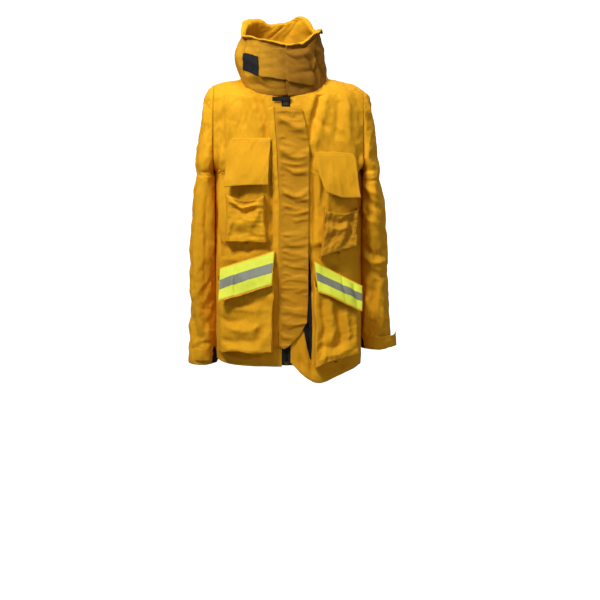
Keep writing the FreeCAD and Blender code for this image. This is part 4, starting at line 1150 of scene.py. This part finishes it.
def make_storm_flap(panels):
    """The flap over the zip, the band along its seam, its hooks and the loop strip that they meet."""
    left = [(-27, -684), (-28, -520), (-24, -290), (-30, -150), (-38, -44)]
    right = [(-2, -684), (31, -651), (50, -616), (53, -560), (55, -300), (56, -150), (46, -92), (36, -50)]
    bottom, top = [(-27, -684), (-12, -689), (-2, -684)], [(-38, -44), (0, -46), (36, -50)]
    XZ = between(left, right, 34, 190, bottom, top)
    x, z = XZ[..., 0], XZ[..., 1]
    P = front_plane(x, z, 7.2)
    N = normals(P)
    u, _ = lengths(P)
    share = u / u[:, -1:]
    depth = puckers(share, z)
    depth += folds(x, z, STORM_FOLDS) + 1.8 * creases(z, x, 44, 70, 18) + 2.0 * noise(x / 30, z / 50, 46)
    depth = np.maximum(depth, -3.4) * edge_fade(P, 9, sides=False) * np.clip(share * 6, 0, 1)
    P = P + N * depth[..., None]
    held = np.where(share < 0.13, 1.0, 0.03)
    held[-4:] = 1.0
    P = relaxed(P, held, grow=0.02, frames=14, bend=0.8, cap=5.0)
    P[..., 0] = x * 0.8 + P[..., 0] * 0.2
    P[..., 1] -= np.maximum(P[..., 1] - front_plane(P[..., 0], P[..., 2], 5.6)[..., 1], 0)
    N = normals(P)
    body = "storm_flap_body"
    # painted shade: the storm flap takes the darker copy of the shell
    cloth("storm_flap_cloth", P, PANEL, [PAINTED_SHADE_SHELL, LINING], ["storm_flap"], body)
    stitches("storm_flap_stitching", hem_lines(P, N, "l", (6, 13)) + hem_lines(P, N, "rb", (5, 11)), body)
    seam = [(-27, -684), (-24, -290), (-30, -150), (-38, -44)]
    XZ = between([(-44, -684), (-41, -300), (-47, -150), (-56, -50)], seam, 8, 120)
    G = front_plane(XZ[..., 0], XZ[..., 1], np.linspace(1.8, 5.4, 8)[None, :, None])
    n = normals(G)
    G += n * (1.2 * creases(XZ[..., 1], XZ[..., 0], 48, 30, 12) * edge_fade(G, 4))[..., None]
    cloth("storm_flap_seam_band", G, POCKET, [SHELL])
    stitches("storm_flap_seam_stitching", hem_lines(G, n, "l", (4,)))
    G = piece_of(P, N, 0.72, 0.93, 0.1, 0.93, 8, 90, -3.1)
    cloth("storm_flap_hooks", G, 1.3, [BLACK], ["storm_flap_hook_strip"], body, rim=0.6)
    XZ = between([(59, -724), (40, -640), (36, -480), (28, -380), (25, -110)],
                 [(62, -722), (64, -640), (60, -480), (51, -380), (46, -110)], 8, 100,
                 [(57, -716), (62, -722)])
    G = on_panel(*panels["left"], XZ, 1.9)
    cloth("storm_loop_strip_cloth", G, FACING, [BLACK], ["storm_loop_strip"], rim=0.7)
    XZ = between([(-42, -31), (-42, -20)], [(6, -31), (6, -20)], 14, 6)
    G = front_plane(XZ[..., 0], XZ[..., 1], 4.6)
    cloth("throat_patch", G, 1.4, [BLACK], ["throat_loop_patch"], rim=0.6)


def make_zip():
    """Two rows of moulded teeth on the tapes' inner edges, with a woven strip behind them."""
    lift, pitch = -6.1, 2.9
    X, Z = np.meshgrid(np.linspace(ZIP_X - 5.2, ZIP_X + 5.2, 5),
                       np.linspace(ZIP_BOTTOM_Z + 3, ZIP_TOP_Z - 8, 40))
    cloth("zip_tape_edges", front_plane(X, Z, lift - 1.0), 0.6, [TAPE], rim=0.2,
          smooth=0)
    for side, word in ((-1, "right"), (1, "left")):
        verts, faces = [], []
        near, far = ZIP_X + side * 0.35, ZIP_X + side * 4.2
        for k in range(int((ZIP_TOP_Z - ZIP_BOTTOM_Z - 20) / pitch)):
            z = ZIP_BOTTOM_Z + 13 + pitch * k + (pitch / 2 if side > 0 else 0)
            base = len(verts)
            for x, half in ((near, 0.75), ((near + far) / 2, 0.55), (far, 1.0)):
                for dy, dz in ((-1.2, -half), (1.2, -half), (1.2, half), (-1.2, half)):
                    p = front_plane(np.array(x), np.array(z + dz), lift + 0.6)
                    verts.append(p + np.array([0, dy, 0]))
            for ring in (base, base + 4):
                for q in range(4):
                    a, b = ring + q, ring + (q + 1) % 4
                    faces.append((a, b, b + 4, a + 4))
            faces += [(base + 3, base + 2, base + 1, base), (base + 8, base + 9, base + 10, base + 11)]
        obj = new_object(f"zip_teeth_{word}", np.array(verts) * MM, faces, [TEETH])
        place(obj, "coat", [f"zipper_teeth_{word}"])


def finish_nodes():
    """Better finishes for the CAD nodes whose shapes stay."""
    for material, nodes in (
            (TAPE, ("zipper_tape_right", "zipper_tape_left")), (BLACK, ("zipper_pull_grip",)),
            (BRASS, ("zipper_top_stops", "zipper_bottom_box", "zipper_slider", "zipper_pull")),
            (EYELET, ("pocket_drain_eyelets",))):
        for node in nodes:
            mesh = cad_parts[node].data
            if not mesh.materials:
                mesh.materials.append(material)
            for k in range(len(mesh.materials)):
                mesh.materials[k] = material


# ---- cuffs and small parts ---------------------------------------------------------------------------
def upright_band(points, z0, z1, flare=0.0):
    """A grid that follows the points, X and Y, from z0 up to z1, bowing forwards by flare in between."""
    t, fine = np.linspace(0, 1, len(points)), np.linspace(0, 1, 30)
    line = np.stack([np.interp(fine, t, np.array(points, float)[:, k]) for k in (0, 1)], 1)
    for _ in range(12):
        line[1:-1] = (line[:-2] + 2 * line[1:-1] + line[2:]) / 4
    line = spaced(line, 26)
    rows = []
    for s in np.linspace(0, 1, 12):
        bow = flare * math.sin(s * math.pi)
        rows.append(np.stack([line[:, 0], line[:, 1] - bow, np.full(26, z0 + (z1 - z0) * s)], 1))
    return np.array(rows)


def make_cuff_tabs():
    """The tab round each cuff, sewn at its inner end and free at its outer one."""
    for word, side, points, z0, z1 in (
            ("right", -1, [(-262, -56), (-243, -66), (-224, -58), (-213, -38)], -741, -705),
            ("left", 1, [(218, -50), (240, -67), (270, -61), (292, -36), (301, 2)], -708, -670)):
        body, axis = f"{word}_cuff_tab_body", (side * 244.0, SLEEVE_Y)
        P = upright_band(points, z0, z1, 2.0)
        u, v = lengths(P)
        depth = 2.2 * noise(u / 16, v / 18, 210 + side) + 1.2 * creases(u, v, 212 + side, 26, 12)
        P = P + normals(P, axis) * (depth * ramp(u, 0, 14))[..., None]
        P[..., 2] += 3.0 * noise(u / 22, v / 40, 220 + side) * ramp(u, 0, 20)
        cloth(f"{word}_cuff_tab_cloth", P, 2.8, [SHELL, LINING], [f"{word}_cuff_tab"], body, inside=axis)
        stitches(f"{word}_cuff_tab_stitching", hem_lines(P, normals(P, axis), "rbt", (4,)), body)


def make_neck_parts():
    """The hanger loop and a blank label inside the collar."""
    y = NECK_Y + 0.95 * 103 - 4.6
    path = [(-46, y + 1), (-44, y - 8), (-36, y - 13), (-12, y - 14), (12, y - 13), (20, y - 8),
            (22, y + 1)]
    cloth("hanger_loop_tape", upright_band(path, 74, 82), 1.8, [TAPE], ["hanger_loop"], inside=(-12, 200))
    across = np.linspace(104, 76, 20)
    P = np.array([collar_ring(share, across, -8.5) for share in np.linspace(0.14, 0.36, 10)])
    cloth("blank_label", P, 0.8, [LABEL], ["neck_label"], inside=(-12, 300), rim=0.4)


# ---- studio ------------------------------------------------------------------------------------------
ROOM = [  # radius and height, in metres: a round floor that curves up into a wall and a ceiling
    (0.0004, -1.6), (3, -1.6), (5.6, -1.6), (6.4, -1.45), (6.9, -1.0), (7.1, -0.3), (7.1, 5.0), (5, 7.2),
    (0.0004, 7.6),
]


def put(name, data, spot, aim):
    """A light or camera at a spot, turned towards its aim."""
    obj = bpy.data.objects.new(name, data)
    obj.location = spot
    obj.rotation_euler = (Vector(aim) - Vector(spot)).to_track_quat("-Z", "Y").to_euler()
    bpy.context.scene.collection.objects.link(obj)
    return obj


def make_studio():
    """Soft lights, a pale world and floor, and the camera."""
    for name, width, energy, spot, aim_z in (
            ("key", 0.8, 74, (-1.2, -1.75, 1.75), -0.3), ("fill", 2.4, 11, (2.4, -2.6, 0.2), -0.4),
            ("top", 1.0, 22, (0.0, -0.5, 1.9), -0.2), ("behind", 2.4, 12, (0.3, 2.2, 1.2), -0.4)):
        data = bpy.data.lights.new(name, "AREA")
        data.shape, data.size, data.energy = "DISK", width, energy
        put(name, data, spot, (0, 0, aim_z))
    world = bpy.data.worlds.new("studio")
    world.use_nodes = True
    world.node_tree.nodes["Background"].inputs[0].default_value = (1, 1, 1, 1)
    world.node_tree.nodes["Background"].inputs[1].default_value = 0.2
    bpy.context.scene.world = world
    angles = np.linspace(0, 2 * math.pi, 49)
    grid = np.array([[(r * math.sin(a), -r * math.cos(a), z) for a in angles] for r, z in ROOM])
    ids = np.arange(len(ROOM) * len(angles)).reshape(len(ROOM), len(angles))
    pale = bpy.data.materials.new("pale_floor")
    pale.use_nodes = True
    shader = pale.node_tree.nodes["Principled BSDF"]
    shader.inputs["Base Color"].default_value = (0.9, 0.9, 0.9, 1)
    shader.inputs["Roughness"].default_value = 0.9
    shader.inputs["Emission Color"].default_value = (1, 1, 1, 1)
    shader.inputs["Emission Strength"].default_value = 1.0
    floor = new_object("floor", grid.reshape(-1, 3), grid_faces(ids), [pale])
    floor.visible_diffuse = floor.visible_glossy = False
    data = bpy.data.cameras.new("camera")
    data.sensor_width, data.lens = 36.0, 71.6
    bpy.context.scene.camera = put("camera", data, (0.031, -3.3, -0.05), (0.031, 0, -0.58))
    bpy.context.scene.view_settings.view_transform = "Standard"


make_studio()
panels = make_body()
make_facings(panels)
make_sleeve(-1)
make_sleeve(1)
make_collar()
make_pockets(panels)
make_storm_flap(panels)
make_zip()
make_cuff_tabs()
make_neck_parts()
finish_nodes()
